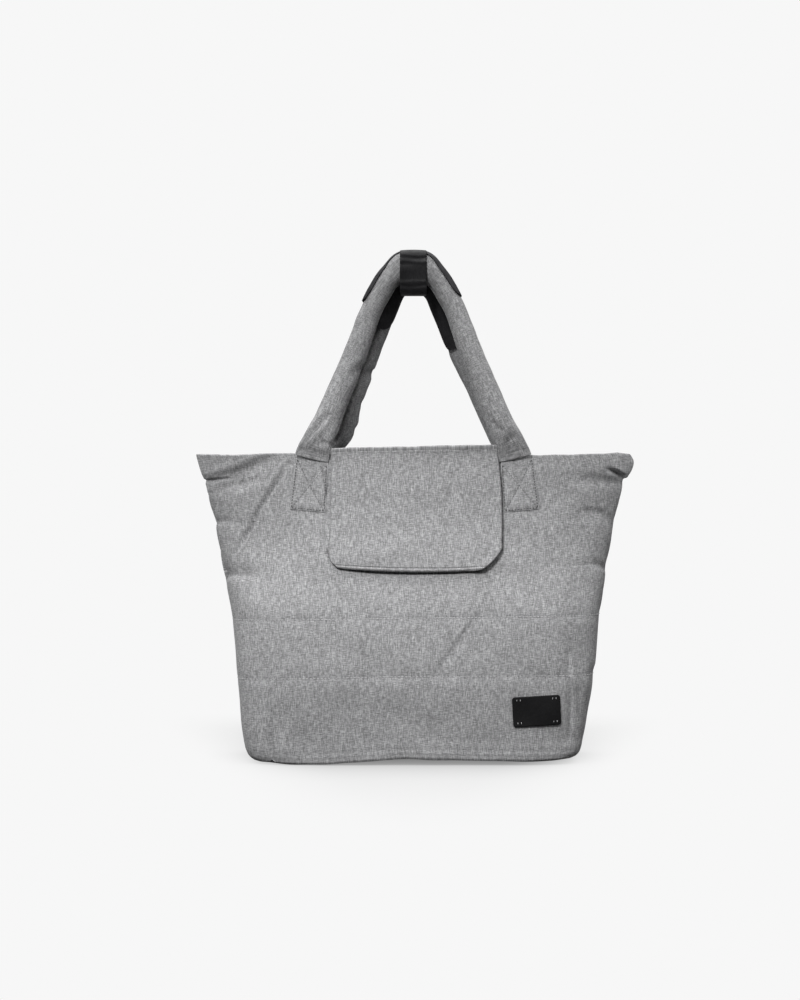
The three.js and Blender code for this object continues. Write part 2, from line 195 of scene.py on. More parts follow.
bpy.context.scene.world = studio_world()
bpy.context.scene.view_settings.view_transform = "Standard"
key = bpy.data.lights.new("key", "SUN")
key.energy = KEY["strength"]
key.angle = KEY["spread"]
key_lamp = add_object("key", key)
key_lamp.rotation_euler = KEY["turn"]
fill = bpy.data.lights.new("fill", "SPOT")
fill.energy = FILL["power"]
fill.spot_size = FILL["cone"]
fill.spot_blend = FILL["blend"]
fill.shadow_soft_size = FILL["size"]
fill_lamp = add_object("fill", fill)
fill_lamp.location = FILL_FROM
fill_lamp.rotation_euler = (FILL_TOWARDS - FILL_FROM).to_track_quat("-Z", "Y").to_euler()
print("light: sun", key.energy, "spot", fill.energy, "sky", SKY["overhead"])

# %% [markdown]
# ## Floor
# The floor is as pale as the backdrop and fades into it. The camera sees its own glow, dimmed where
# the bag hides the sky, which is the soft shadow round the base. The shadow widens and deepens from
# the front of the bag to behind it, and it fades out past the bag's two ends. Other light meets a
# darker floor, so that little of it bounces up on the lower cloth.

# %% Floor
FLOOR_SIZE = 40
FLOOR_DROP = -0.0005
FLOOR = {"bounce": 0.1, "shade": 0.6, "shade_reach": 0.45, "fade_from": 0.1, "fade_to": 0.24}
# How much wider the shadow is for each metre further back
FLOOR_SLANT = 0.25
# The shadow is deepened between two depths of the floor, from one share to another
FLOOR_DEPTHS = (-0.2, 0.3)
FLOOR_DEEPENED = (0.6, 2.4)


def floor_material():
    material = bpy.data.materials.new("studio_floor")
    material.use_nodes = True
    tree = material.node_tree
    tree.nodes.clear()
    place = new_node(tree, "ShaderNodeNewGeometry")
    x, y, _ = split_place(tree, place.outputs["Position"])
    sideways = sum_of(tree, "ABSOLUTE", x)
    slanted = sum_of(tree, "SUBTRACT", sideways, sum_of(tree, "MULTIPLY", y, FLOOR_SLANT))
    near = spread_value(tree, slanted, FLOOR["fade_from"], FLOOR["fade_to"], 1.0, 0.0, "SMOOTHSTEP")
    behind = spread_value(tree, y, *FLOOR_DEPTHS, *FLOOR_DEEPENED)
    deepened = sum_of(tree, "MULTIPLY", near, behind)
    open_sky = new_node(tree, "ShaderNodeAmbientOcclusion", Distance=FLOOR["shade_reach"])
    hidden = spread_value(tree, open_sky.outputs["AO"], 0.0, 1.0, FLOOR["shade"], 0.0)
    shade = sum_of(tree, "MULTIPLY", hidden, deepened)
    glow = new_node(tree, "ShaderNodeEmission", Color=WHITE)
    tree.links.new(spread_value(tree, shade, 0.0, 1.0, BACKDROP, 0.0), glow.inputs["Strength"])
    paint = new_node(tree, "ShaderNodeBsdfDiffuse", Color=(FLOOR["bounce"],) * 3 + (1,))
    out = new_node(tree, "ShaderNodeOutputMaterial")
    tree.links.new(camera_sees(tree, glow.outputs[0], paint.outputs[0]), out.inputs[0])
    return material


half = FLOOR_SIZE / 2
floor_mesh = bpy.data.meshes.new("floor")
floor_corners = [(-half, -half), (half, -half), (half, half), (-half, half)]
floor_mesh.from_pydata([(x, y, FLOOR_DROP) for x, y in floor_corners], [], [(0, 1, 2, 3)])
floor_mesh.materials.append(floor_material())
floor = add_object("floor", floor_mesh)
print("floor:", FLOOR_SIZE, "m wide")

# %% [markdown]
# ## Meshes from grids
# Cloth pieces are grids of points: rows run up the cloth and columns run across it. A padded or
# thick piece is a closed wall between an outer and an inner grid. The UV map holds places on the
# flat cloth in metres, so that the weave keeps its size and follows the threads round every bend.

# %% Grid helpers
SHARP_ANGLE = np.radians(50)
CLOTH_MAP = "cloth"
TINY = 1e-12


def unit(vectors):
    return vectors / np.maximum(np.linalg.norm(vectors, axis=-1, keepdims=True), TINY)


def smooth(t):
    """An eased step from 0 to 1."""
    t = np.clip(t, 0, 1)
    return t * t * (3 - 2 * t)


def crowded(count, share):
    """Places from -1 to 1, of which a share is drawn together towards the two ends."""
    even = np.linspace(-1, 1, count)
    return (1 - share) * even + share * np.sin(even * np.pi / 2)


def lengths_along(line):
    """Distances along a line of points, from its first point to each of them."""
    steps = np.linalg.norm(np.diff(line, axis=0), axis=1)
    return np.concatenate([[0], np.cumsum(steps)])


def rounded_edge(to_edge, radius, least):
    """The share of the thickness that is left near a rounded edge. Its square is never below least."""
    past = np.clip(1 - to_edge / radius, 0, 1)
    return np.sqrt(np.maximum(1 - past**2, least))


def grid_normals(points):
    """The direction out of a grid at each of its points."""
    return unit(np.cross(np.gradient(points, axis=1), np.gradient(points, axis=0)))


def grid_cells(rows, columns, wrap=False):
    """Row and column numbers of the four corners of every cell."""
    r, c = np.meshgrid(np.arange(rows - 1), np.arange(columns - (not wrap)), indexing="ij")
    corner_rows = np.stack([r, r, r + 1, r + 1], axis=-1).reshape(-1, 4)
    corner_columns = np.stack([c, c + 1, c + 1, c], axis=-1).reshape(-1, 4)
    return corner_rows, corner_columns


def new_piece(name, points, faces, places, materials, slots=None):
    """An object from points in mm, faces of four corners and their places on the flat cloth."""
    faces, places = np.concatenate(faces), np.concatenate(places)
    corners = points[faces]
    middle = corners.mean(axis=1)
    turn = np.cross(corners[:, 2] - corners[:, 0], corners[:, 3] - corners[:, 1])
    if np.einsum("ij,ij->", middle - points.mean(axis=0), turn) < 0:
        faces, places = faces[:, ::-1], places[:, ::-1]
    mesh = bpy.data.meshes.new(name)
    mesh.vertices.add(len(points))
    mesh.vertices.foreach_set("co", (points * MM).astype(np.float32).ravel())
    mesh.loops.add(faces.size)
    mesh.loops.foreach_set("vertex_index", faces.astype(np.int32).ravel())
    mesh.polygons.add(len(faces))
    mesh.polygons.foreach_set("loop_start", np.arange(0, faces.size, 4, dtype=np.int32))
    for material in materials:
        mesh.materials.append(material)
    if slots is not None:
        mesh.polygons.foreach_set("material_index", np.concatenate(slots).astype(np.int32))
    mesh.update(calc_edges=True)
    layer = mesh.uv_layers.new(name=CLOTH_MAP)
    layer.uv.foreach_set("vector", (places * MM).astype(np.float32).ravel())
    mesh.shade_smooth()
    mesh.set_sharp_from_angle(angle=SHARP_ANGLE)
    return add_object(name, mesh)


def wall_piece(name, outer, inner, flat, material, lining=None, wrap=False):
    """A closed wall between two grids, which may wrap round as a sleeve does."""
    rows, columns = outer.shape[:2]
    corner_rows, corner_columns = grid_cells(rows, columns, wrap)
    size = rows * columns
    cells = corner_rows * columns + corner_columns % columns
    places = flat[corner_rows, corner_columns]
    faces, maps, slots = [cells], [places], [np.zeros(len(cells))]
    faces.append(size + cells[:, ::-1])
    maps.append(places[:, ::-1])
    slots.append(np.full(len(cells), 0 if lining is None else 1))

    def rim(r, c):
        near = r * columns + c % columns
        strip = np.stack([near[1:], near[:-1], size + near[:-1], size + near[1:]], axis=-1)
        place = flat[r, c]
        faces.append(strip)
        maps.append(np.stack([place[1:], place[:-1], place[:-1], place[1:]], axis=1))
        slots.append(np.zeros(len(strip)))

    all_columns = np.arange(columns + wrap)
    rim(np.zeros_like(all_columns), all_columns)
    rim(np.full_like(all_columns, rows - 1), all_columns[::-1])
    if not wrap:
        all_rows = np.arange(rows)
        rim(all_rows[::-1], np.zeros_like(all_rows))
        rim(all_rows, np.full_like(all_rows, columns - 1))
    points = np.concatenate([outer.reshape(-1, 3), inner.reshape(-1, 3)])
    materials = [material] if lining is None else [material, lining]
    return new_piece(name, points, faces, maps, materials, slots)


def dress(piece, slot, *nodes):
    """Ride the piece on the bag and let it stand for its solids. The slot is not used."""
    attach(piece, BODY)
    if nodes:
        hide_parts(*nodes)
    print(piece.name, len(piece.data.polygons), "faces")
    return piece


# %% [markdown]
# ## Heathered weave
# The cloth is a plain weave of grey yarns. Each yarn is spun from dark and light fibres, so it
# shows short streaks along its length, across the cloth and up it. A picture of cloth would do, but
# it repeats and blurs close up. Here two stretched noises make the streaks, one for each direction
# of yarn, a fine over-and-under pattern mixes them, and a third noise adds a few flecks. The group
# also puts out the round backs of the yarns, for a bump.

# %% Groups and noise
def new_group(name, inputs, outputs):
    """A shader node group with value or vector inputs, and its two end nodes."""
    tree = bpy.data.node_groups.new(name, "ShaderNodeTree")
    for label, kind, value in inputs:
        socket = tree.interface.new_socket(label, in_out="INPUT", socket_type=kind)
        if value is not None:
            socket.default_value = value
    for label, kind in outputs:
        tree.interface.new_socket(label, in_out="OUTPUT", socket_type=kind)
    return tree, tree.nodes.new("NodeGroupInput"), tree.nodes.new("NodeGroupOutput")


def noise_at(tree, x, y, layer, detail=1.0):
    """Smooth noise over two values that count its lumps. Each layer differs from the others."""
    noise = new_node(tree, "ShaderNodeTexNoise", Scale=1.0, Detail=detail, Roughness=0.6)
    tree.links.new(join_place(tree, x, y, layer), noise.inputs["Vector"])
    return noise.outputs[0]


# %% Weave group
WEAVE_LAYERS = {"weft": 3.1, "warp": 11.7, "fleck": 23.9}
STREAK_DETAIL = 2.0
FLECK_SHARE = 0.15


def weave_group():
    tree, given, out = new_group(
        "Heathered weave",
        [
            ("Cloth Place", "NodeSocketVector", None),
            ("Yarn Width", "NodeSocketFloat", 0.55),
            ("Streak Width", "NodeSocketFloat", 0.68),
            ("Streak Length", "NodeSocketFloat", 6.0),
        ],
        [("Tone", "NodeSocketFloat"), ("Relief", "NodeSocketFloat")],
    )
    x, y, _ = split_place(tree, given.outputs["Cloth Place"])
    places = [sum_of(tree, "MULTIPLY", value, 1 / MM) for value in (x, y)]

    def counted(size):
        """Places across and up the cloth, counted in yarns or in streaks."""
        return [sum_of(tree, "DIVIDE", place, given.outputs[size]) for place in places]

    fine_across, fine_up = counted("Streak Width")
    long_across, long_up = counted("Streak Length")
    weft = noise_at(tree, long_across, fine_up, WEAVE_LAYERS["weft"], STREAK_DETAIL)
    warp = noise_at(tree, fine_across, long_up, WEAVE_LAYERS["warp"], STREAK_DETAIL)
    fleck = noise_at(tree, fine_across, fine_up, WEAVE_LAYERS["fleck"])
    turns = [sum_of(tree, "MULTIPLY", yarns, np.pi) for yarns in counted("Yarn Width")]
    wave_across, wave_up = (sum_of(tree, "SINE", turn) for turn in turns)
    over = spread_value(tree, sum_of(tree, "MULTIPLY", wave_across, wave_up), -1.0, 1.0)
    streaks = blend_values(tree, over, warp, weft)
    tone = blend_values(tree, FLECK_SHARE, streaks, fleck)
    round_across = sum_of(tree, "ABSOLUTE", wave_across)
    round_up = sum_of(tree, "ABSOLUTE", wave_up)
    tree.links.new(tone, out.inputs["Tone"])
    tree.links.new(blend_values(tree, over, round_across, round_up), out.inputs["Relief"])
    return tree


WEAVE = weave_group()
print("weave group:", len(WEAVE.nodes), "nodes")

# %% [markdown]
# ## Cloth and thread
# The walls, the lining and the threads share the weave and differ in brightness. The shader is
# rough with a little sheen, as short fibres catch light at a flat angle.

# %% Surface helpers
PALEST = 0.95


def surface_material(name, group):
    """A material, its shader and a group in it that reads places on the flat cloth."""
    material = bpy.data.materials.new(name)
    material.use_nodes = True
    tree = material.node_tree
    place = tree.nodes.new("ShaderNodeUVMap")
    place.uv_map = CLOTH_MAP
    surface = tree.nodes.new("ShaderNodeGroup")
    surface.node_tree = group
    tree.links.new(place.outputs[0], surface.inputs[0])
    return material, tree.nodes["Principled BSDF"], surface


def tone_ramp(tree, value, stops, tint):
    """Grey levels spread over a value, with a touch of tint."""
    ramp = tree.nodes.new("ShaderNodeValToRGB")
    elements = ramp.color_ramp.elements
    while len(elements) < len(stops):
        elements.new(1.0)
    for element, (place, level) in zip(elements, stops):
        element.position = place
        level = min(level, PALEST)
        element.color = (level * tint[0], level * tint[1], level * tint[2], 1)
    tree.links.new(value, ramp.inputs[0])
    return ramp.outputs[0]


def raise_surface(tree, shader, height, strength, depth):
    bump = new_node(tree, "ShaderNodeBump", Strength=strength, Distance=depth)
    tree.links.new(height, bump.inputs["Height"])
    tree.links.new(bump.outputs[0], shader.inputs["Normal"])


# %% Cloth materials
CLOTH_TONES = [(0.35, 0.125), (0.47, 0.256), (0.53, 0.342), (0.65, 0.62)]
CLOTH_TINT = (1, 1, 1.015)
CLOTH_RELIEF = {"strength": 0.25, "depth": 0.3 * MM}
CLOTH_ROUGHNESS = 0.92
CLOTH_SHEEN = 0.12
CLOTH_SHINE = 0.2


def cloth_material(name, brightness=1.0):
    material, shader, weave = surface_material(name, WEAVE)
    tree = material.node_tree
    stops = [(at, level * brightness) for at, level in CLOTH_TONES]
    colour = tone_ramp(tree, weave.outputs["Tone"], stops, CLOTH_TINT)
    tree.links.new(colour, shader.inputs["Base Color"])
    raise_surface(tree, shader, weave.outputs["Relief"], **CLOTH_RELIEF)
    shader.inputs["Roughness"].default_value = CLOTH_ROUGHNESS
    shader.inputs["Sheen Weight"].default_value = CLOTH_SHEEN
    shader.inputs["Specular IOR Level"].default_value = CLOTH_SHINE
    return material


cloth = cloth_material("heathered_cloth")
lining = cloth_material("lining_cloth", brightness=0.6)
thread_grey = cloth_material("grey_thread", brightness=0.65)
thread_light = cloth_material("light_thread", brightness=1.7)
# Thread of the stitches along a tab's edge: grey thread made darker than the cross's, with painted
# shade of the sewn edge in its colour
edge_thread_painted_shade = cloth_material("dark_thread", brightness=0.3)
print("cloth and thread: 5 materials")

# %% [markdown]
# ## Leather
# The cuff, the two saddles on the handles and the label are black leather with a fine pebbled
# grain. Small Voronoi cells give the pebbles, a slower noise makes some places shinier where hands
# rub them, and the colour lifts a little on the pebbles' tops.

# %% Grain group
PEBBLE_RANGE = (0.1, 0.7)
PEBBLE_DISORDER = 0.9
WEAR = {"scale": 0.12, "layer": 5.3, "detail": 3.0}
WEAR_RANGE = (0.35, 0.65)


def grain_group():
    tree, given, out = new_group(
        "Leather grain",
        [("Hide Place", "NodeSocketVector", None), ("Pebble Size", "NodeSocketFloat", 0.9)],
        [("Relief", "NodeSocketFloat"), ("Wear", "NodeSocketFloat")],
    )
    x, y, _ = split_place(tree, given.outputs["Hide Place"])
    places = [sum_of(tree, "DIVIDE", value, MM) for value in (x, y)]
    across, up = (sum_of(tree, "DIVIDE", place, given.outputs["Pebble Size"]) for place in places)
    cells = new_node(tree, "ShaderNodeTexVoronoi", Scale=1.0, Randomness=PEBBLE_DISORDER)
    cells.feature = "SMOOTH_F1"
    tree.links.new(join_place(tree, across, up), cells.inputs["Vector"])
    pebbles = spread_value(tree, cells.outputs["Distance"], *PEBBLE_RANGE, 1.0, 0.0)
    slow = [sum_of(tree, "MULTIPLY", place, WEAR["scale"]) for place in (across, up)]
    rubbed = noise_at(tree, *slow, WEAR["layer"], WEAR["detail"])
    tree.links.new(pebbles, out.inputs["Relief"])
    tree.links.new(spread_value(tree, rubbed, *WEAR_RANGE), out.inputs["Wear"])
    return tree


GRAIN = grain_group()
print("grain group:", len(GRAIN.nodes), "nodes")

# %% Leather materials
LEATHER_TONES = [(0.0, 0.6), (0.6, 1.0), (1.0, 1.7)]
LEATHER_TINT = (1, 0.99, 1.08)
LEATHER_SHINE = 0.2
LEATHER_RELIEF_DEPTH = 0.2 * MM
# How much the wear shows in the colour, and how far it smooths or roughens the leather
WEAR_TONE = 0.4
WEAR_POLISH = 0.08


def leather_material(name, level, rough, pebble=0.9, relief=0.35):
    material, shader, grain = surface_material(name, GRAIN)
    tree = material.node_tree
    grain.inputs["Pebble Size"].default_value = pebble
    pebbles, wear = grain.outputs["Relief"], grain.outputs["Wear"]
    stops = [(at, level * share) for at, share in LEATHER_TONES]
    colour = tone_ramp(tree, blend_values(tree, WEAR_TONE, pebbles, wear), stops, LEATHER_TINT)
    roughness = spread_value(tree, wear, 0.0, 1.0, rough + WEAR_POLISH, rough - WEAR_POLISH)
    tree.links.new(colour, shader.inputs["Base Color"])
    tree.links.new(roughness, shader.inputs["Roughness"])
    raise_surface(tree, shader, pebbles, relief, LEATHER_RELIEF_DEPTH)
    shader.inputs["Specular IOR Level"].default_value = LEATHER_SHINE
    return material


cuff_leather = leather_material("cuff_leather", 0.017, 0.42)
saddle_leather = leather_material("saddle_leather", 0.03, 0.55)
label_leather = leather_material("label_leather", 0.007, 0.6, pebble=0.7, relief=0.8)
print("leather: 3 materials")

# %% [markdown]
# ## The body's form
# Level sections give the body's half width to the left and right, its half depth, and how flat or
# pointed the section is, from the floor to the rim. They are those of the solids, apart from the
# lowest right side, which reaches up to 3 mm further out, and a smooth curve runs through them. The
# slack cloth then settles: it swells out over its bottom edge and sinks higher up. The face depth
# at any place on the front follows from both, so a tab, a label or a stitch can be laid on the
# cloth by its place alone.

# %% Sections of the body
# The gap between the two walls where they are sewn, a wall's thickness, and its least at the seams
GAP = 0.04
WALL = 5
THINNEST_WALL = 2
SECTION_COLUMNS = ("z", "left", "right", "depth", "flat", "round", "lap")
SECTION_ROWS = np.array([
    (0, 157, 158, 58, 7, 0.16, 0),
    (1.5, 168, 169, 64, 7, 0.16, 0),
    (5, 175.5, 176, 68.5, 7, 0.16, 0),
    (12, 180.5, 180, 71.5, 7, 0.16, 0),
    (24, 183.5, 182, 73.5, 6.5, 0.17, 0),
    (50, 186.5, 186, 75, 6, 0.18, 0),
    (90, 191, 192.5, 76, 5.5, 0.22, 0),
    (151, 197, 200, 73.5, 5, 0.32, 0),
    (204, 207, 208, 62, 3.6, 0.45, 0.1),
    (257, 217, 217.5, 47.5, 2.9, 0.65, 0.4),
    (290, 226, 225, 38, 2.5, 0.85, 0.8),
    (300, 229, 228, 35, 2.4, 0.9, 0.9),
    (312, 233, 236, 31.5, 2.3, 0.95, 1),
    (322, 236, 238.5, 29, 2.2, 1, 1),
    (330, 238, 234, 27.5, 2.2, 1, 1),
])
SECTIONS = dict(zip(SECTION_COLUMNS, SECTION_ROWS.T))
RIM = SECTION_ROWS[-1, 0]
# How far the bottom edge arches up in the middle, and more so at the front's right
ARCH = {"rise": 6, "half_span": 115, "fade_height": 60}
ARCH_RIGHT = {"rise": 3.6, "from": 20, "to": 110}
# The depth over which a place passes from the side seam to the front face
FRONT_REACH = 60
# How the slack cloth settles: heights, and how far the face swells or sinks there
SETTLE_ROWS = np.array([
    (0, 14.6), (1.5, 9.7), (5, 5.4), (12, 2.5), (24, 0.7), (40, 0.4), (85, 1.6),
    (151, -1.2), (204, -4.6), (240, -5.2), (270, -4.2), (300, -1.8), (330, 0),
]).T
SETTLE_EASE = 0.5


def section(column, z):
    """A named column of the sections at heights, along a smooth curve through its rows."""
    levels, values = SECTIONS["z"], SECTIONS[column]
    z = np.clip(z, 0, RIM)
    last = len(levels) - 1
    below = np.maximum(np.arange(last + 1) - 1, 0)
    above = np.minimum(np.arange(last + 1) + 1, last)
    slopes = (values[above] - values[below]) / (levels[above] - levels[below])
    upper = np.clip(np.searchsorted(levels, z), 1, last)
    lower = upper - 1
    span = levels[upper] - levels[lower]
    t = (z - levels[lower]) / span
    pull = t * (1 - t) ** 2 * slopes[lower] - t**2 * (1 - t) * slopes[upper]
    return values[lower] * (1 - smooth(t)) + values[upper] * smooth(t) + pull * span


def settle(z):
    """How far the settled cloth swells, between straight and eased steps from row to row."""
    levels, values = SETTLE_ROWS
    i = np.clip(np.searchsorted(levels, z) - 1, 0, len(levels) - 2)
    t = smooth((z - levels[i]) / (levels[i + 1] - levels[i]))
    eased = values[i] * (1 - t) + values[i + 1] * t
    return (1 - SETTLE_EASE) * np.interp(z, levels, values) + SETTLE_EASE * eased


def half_width(x, z):
    return np.where(np.asarray(x) < 0, section("left", z), section("right", z))


def face_depth(x, z):
    """Half depth of the body's outer face at places on the front or the back."""
    share = np.minimum(1, np.abs(x) / half_width(x, z))
    fullness = (1 - share ** section("flat", z)) ** section("round", z)
    depth = section("depth", z) + settle(z)
    return depth * fullness + GAP / 2 + WALL * section("lap", z)


def front_share(y):
    """How much a place belongs to the front: none at the side seams, all of it at the face."""
    return smooth(-y / FRONT_REACH)


def arch_lift(x, z, front=1.0):
    """How far the bottom edge is lifted off the floor. At the front, more so on the right."""
    middle = 1 - smooth(np.abs(x) / ARCH["half_span"])
    right = smooth((x - ARCH_RIGHT["from"]) / (ARCH_RIGHT["to"] - ARCH_RIGHT["from"]))
    lift = ARCH["rise"] * middle + ARCH_RIGHT["rise"] * right * front
    return lift * (1 - smooth(z / ARCH["fade_height"]))


print("sections:", len(SECTION_ROWS), "rows up to", RIM, "mm")

# %% [markdown]
# ## Folds and stitch rows
# The cloth is slack over its padding. It pinches under the wing tips, creases run down from the
# left handle, and rows of stitching sink it across the body. Each fold is a line on the front view
# with a depth, a width above or to its left and another on its other side, because a real crease
# is steep on one side and easy on the other. Sums of a few seeded waves add the small unevenness of
# wadding.

# %% Folds of the front
def fold(line, deep, left, right, strength=(0, 1, 1, 0), lip=0.0):
    """A crease along a line, its depth, its widths on two sides and its strength along the line."""
    return dict(line=line, deep=deep, left=left, right=right, strength=strength, lip=lip)


FRONT_FOLDS = [
    # Under the left wing: the hem stands proud of a valley that fades towards the handle
    fold([(-236, 300), (-214, 304), (-190, 312), (-166, 321), (-138, 329)], 4.4, 4, 10,
         (0.2, 0.5, 1, 0.55, 0.05), 0.15),
    fold([(-236, 300), (-222, 302), (-202, 304)], 3, 1.1, 1.8, (1, 0.9, 0.4), 0.2),
    fold([(-216, 291), (-190, 297), (-160, 307)], 2.4, 3.5, 8, (0.7, 1, 0.1)),
    # A thin crease straight down to the left from the left tab
    fold([(-135, 318), (-149, 297), (-165, 273), (-177, 251), (-194, 222)], 3.2, 1.7, 3,
         (0.5, 1, 1, 1, 0.3), 0.25),
    # The upper left corner hangs in
    fold([(-208, 240), (-186, 239), (-150, 236), (-118, 234)], 4.5, 32, 34, (0, 1, 1, 0)),
    # Small pinches at the left side seam
    fold([(-222, 256), (-205, 258), (-188, 257)], 2.4, 3, 3, (1, 0.7, 0)),
    fold([(-208, 198), (-188, 200), (-164, 200)], 4, 9, 3, (0.9, 1, 0.1)),
    fold([(-201, 284), (-206, 250), (-208, 214)], 0.8, 7, 7),
    # A small crease from the left tab down behind the flap
    fold([(-100, 314), (-97, 302), (-94, 293), (-92.5, 282)], 4, 1.6, 2, (0.2, 1, 1, 0.4)),
    # The lower left corner turns under
    fold([(-151, 54), (-151.5, 28), (-150, 3)], 4.2, 1.9, 3.4, (0, 1, 0.7)),
    # The hole and the pinch under the rounded right wing
    fold([(209, 314), (217, 311), (227, 306)], 7.5, 1.6, 2.4, (0.1, 1, 0.9), 0.2),
    fold([(222, 307), (230, 301), (238, 297)], 5, 2.2, 4, (0.6, 1, 1)),
    fold([(150, 316), (184, 304), (212, 301)], 1.4, 6, 9, (0, 1, 0.6)),
    # Soft arcs on the right side
    fold([(172, 266), (190, 270), (205, 267), (216, 257)], 2.2, 2.4, 6),
    fold([(186, 216), (196, 212), (206, 207)], 2, 3, 4, (0, 0.8, 1)),
    # A long soft crease across the lower right, and upright ones near the side
    fold([(82, 188), (68, 160), (49, 134), (23, 99)], 1.8, 5, 2.4, (0.25, 0.4, 1, 0.6), 0.2),
    fold([(165, 120), (164, 92), (168, 70), (165, 26)], 2.8, 2.2, 4.5, (0.4, 1, 1, 0.4)),
    fold([(175, 106), (176, 76), (174, 50)], 1.5, 2.5, 4, (0.2, 1, 0.2)),
    # The side swells out above the lower stitch row
    fold([(176, 103), (190, 105), (202, 106)], -1.5, 24, 5, (0, 1, 1)),
]

# Where the edge of the flap dents the wall, below it and up its right side
FLAP_SLOT = [
    fold([(-93, 224), (-81, 207.5), (-40, 204), (0, 202.6), (40, 203), (68, 204.3), (92, 225)],
         4, 1.8, 1, (0.9, 1, 1, 1, 1, 1, 1)),
    fold([(92, 225), (94.5, 250), (94, 290), (91, 325)], 2.6, 1.8, 1.8, (1, 1, 1, 0.6)),
]
print("folds:", len(FRONT_FOLDS), "on the front,", len(FLAP_SLOT), "along the flap")

# %% Folds and waves as heights
# Where the lip of a crease stands, and how broad it is, in widths of the crease
LIP = {"at": 2.1, "width": 0.9}


def fold_rise(x, z, folds):
    """How far the folds lift the cloth at places on the front view, in mm. Valleys are negative."""
    rise = np.zeros(np.shape(x))
    for item in folds:
        line = np.array(item["line"], float)
        passed = lengths_along(line)
        nearest = np.full(np.shape(x), np.inf)
        side = np.zeros(np.shape(x))
        share = np.zeros(np.shape(x))
        for start, end, before, after in zip(line, line[1:], passed, passed[1:]):
            run = end - start
            t = np.clip(((x - start[0]) * run[0] + (z - start[1]) * run[1]) / (run @ run), 0, 1)
            dx, dz = x - start[0] - t * run[0], z - start[1] - t * run[1]
            away = np.hypot(dx, dz)
            closer = away < nearest
            nearest = np.where(closer, away, nearest)
            side = np.where(closer, run[0] * dz - run[1] * dx, side)
            share = np.where(closer, (before + t * (after - before)) / passed[-1], share)
        strength = np.interp(share, np.linspace(0, 1, len(item["strength"])), item["strength"])
        reach = nearest / np.where(side > 0, item["left"], item["right"])
        valley = np.exp(-(reach**2))
        shoulder = item["lip"] * np.exp(-(((reach - LIP["at"]) / LIP["width"]) ** 2))
        rise += item["deep"] * strength * (shoulder - valley)
    return rise


def wave_rise(x, z, seed, count, shortest, longest, height):
    """Uneven wadding: a sum of seeded waves in all directions."""
    rng = np.random.default_rng(seed)
    total = np.zeros(np.broadcast(x, z).shape)
    for _ in range(count):
        turn, phase = rng.uniform(0, 2 * np.pi, 2)
        length = np.exp(rng.uniform(np.log(shortest), np.log(longest)))
        total += np.cos((x * np.cos(turn) + z * np.sin(turn)) * 2 * np.pi / length + phase)
    return total * height * np.sqrt(2 / count)


# %% Stitch rows and wadding
# Heights of the stitch rows at the left side, in the middle and at the right side
QUILT_ROWS = [(89.4, 94, 94.2), (151.9, 155.2, 157.3)]
# The wadding is also tacked at the sides, where it pinches the cloth without a row of stitches
TACK_ROWS = [(195, 203, 211), (256, 257, 259)]
TACK_FADE = (120, 190)
QUILT = {"sink": 0.5, "reach": 6, "crease": 0.35, "crease_reach": 1.2}
QUILT_SIDE = 195
# The rows sink less close to the side seams: by how much, and where that starts and over what share
SIDE_FADE = {"less": 0.3, "from": 0.88, "over": 0.1}
PUCKER_REACH = 9
PUCKER_WAVES = {"count": 12, "shortest": 11, "longest": 34, "height": 0.3}
WADDING_WAVES = {"count": 40, "shortest": 35, "longest": 140, "height": 0.55}
# The flap presses the wall flat
UNDER_FLAP = {"from": 206, "low_fade": 8, "half_width": 92, "side_fade": 10, "sink": 0.5}
HEM = {"height": 300, "sink": 1.2, "reach": 6, "from": 150, "to": 200}
FRONT_SEEDS = {"wadding": 7, "pucker": 21}
BACK_SEEDS = {"wadding": 8, "pucker": 41}


def quilt_height(row, x):
    return np.interp(x, (-QUILT_SIDE, 0, QUILT_SIDE), row)


def quilt_rise(x, z, seed):
    """How the stitch rows, the tacks and the hem sink the cloth."""
    rise = np.zeros(np.shape(x))
    tacked = smooth((np.abs(x) - TACK_FADE[0]) / (TACK_FADE[1] - TACK_FADE[0]))
    for i, row in enumerate(QUILT_ROWS + TACK_ROWS):
        away = z - quilt_height(row, x)
        sunk = QUILT["sink"] * np.exp(-((away / QUILT["reach"]) ** 2))
        sunk += QUILT["crease"] * np.exp(-((away / QUILT["crease_reach"]) ** 2))
        pucker = wave_rise(x, 0 * z, seed + i, **PUCKER_WAVES)
        sunk -= pucker * np.exp(-((away / PUCKER_REACH) ** 2))
        rise -= sunk * (1 if row in QUILT_ROWS else tacked)
    to_side = np.abs(x) / half_width(x, z)
    rise *= 1 - SIDE_FADE["less"] * smooth((to_side - SIDE_FADE["from"]) / SIDE_FADE["over"])
    ends = smooth((np.abs(x) - HEM["from"]) / (HEM["to"] - HEM["from"]))
    rise -= ends * HEM["sink"] * np.exp(-(((z - HEM["height"]) / HEM["reach"]) ** 2))
    return rise


def cloth_rise(x, z, folds, seeds):
    """All that lifts or sinks a wall where nothing lies on it."""
    quilted = fold_rise(x, z, folds) + quilt_rise(x, z, seeds["pucker"])
    return quilted + wave_rise(x, z, seeds["wadding"], **WADDING_WAVES)


def front_rise(x, z):
    """All that lifts or sinks the front of the bag at places on it."""
    covered = smooth((UNDER_FLAP["half_width"] - np.abs(x)) / UNDER_FLAP["side_fade"])
    covered = covered * smooth((z - UNDER_FLAP["from"]) / UNDER_FLAP["low_fade"])
    loose = cloth_rise(x, z, FRONT_FOLDS, FRONT_SEEDS)
    return loose * (1 - covered) - UNDER_FLAP["sink"] * covered + fold_rise(x, z, FLAP_SLOT)


print("stitch rows:", len(QUILT_ROWS), "and", len(TACK_ROWS), "tacked at the sides")

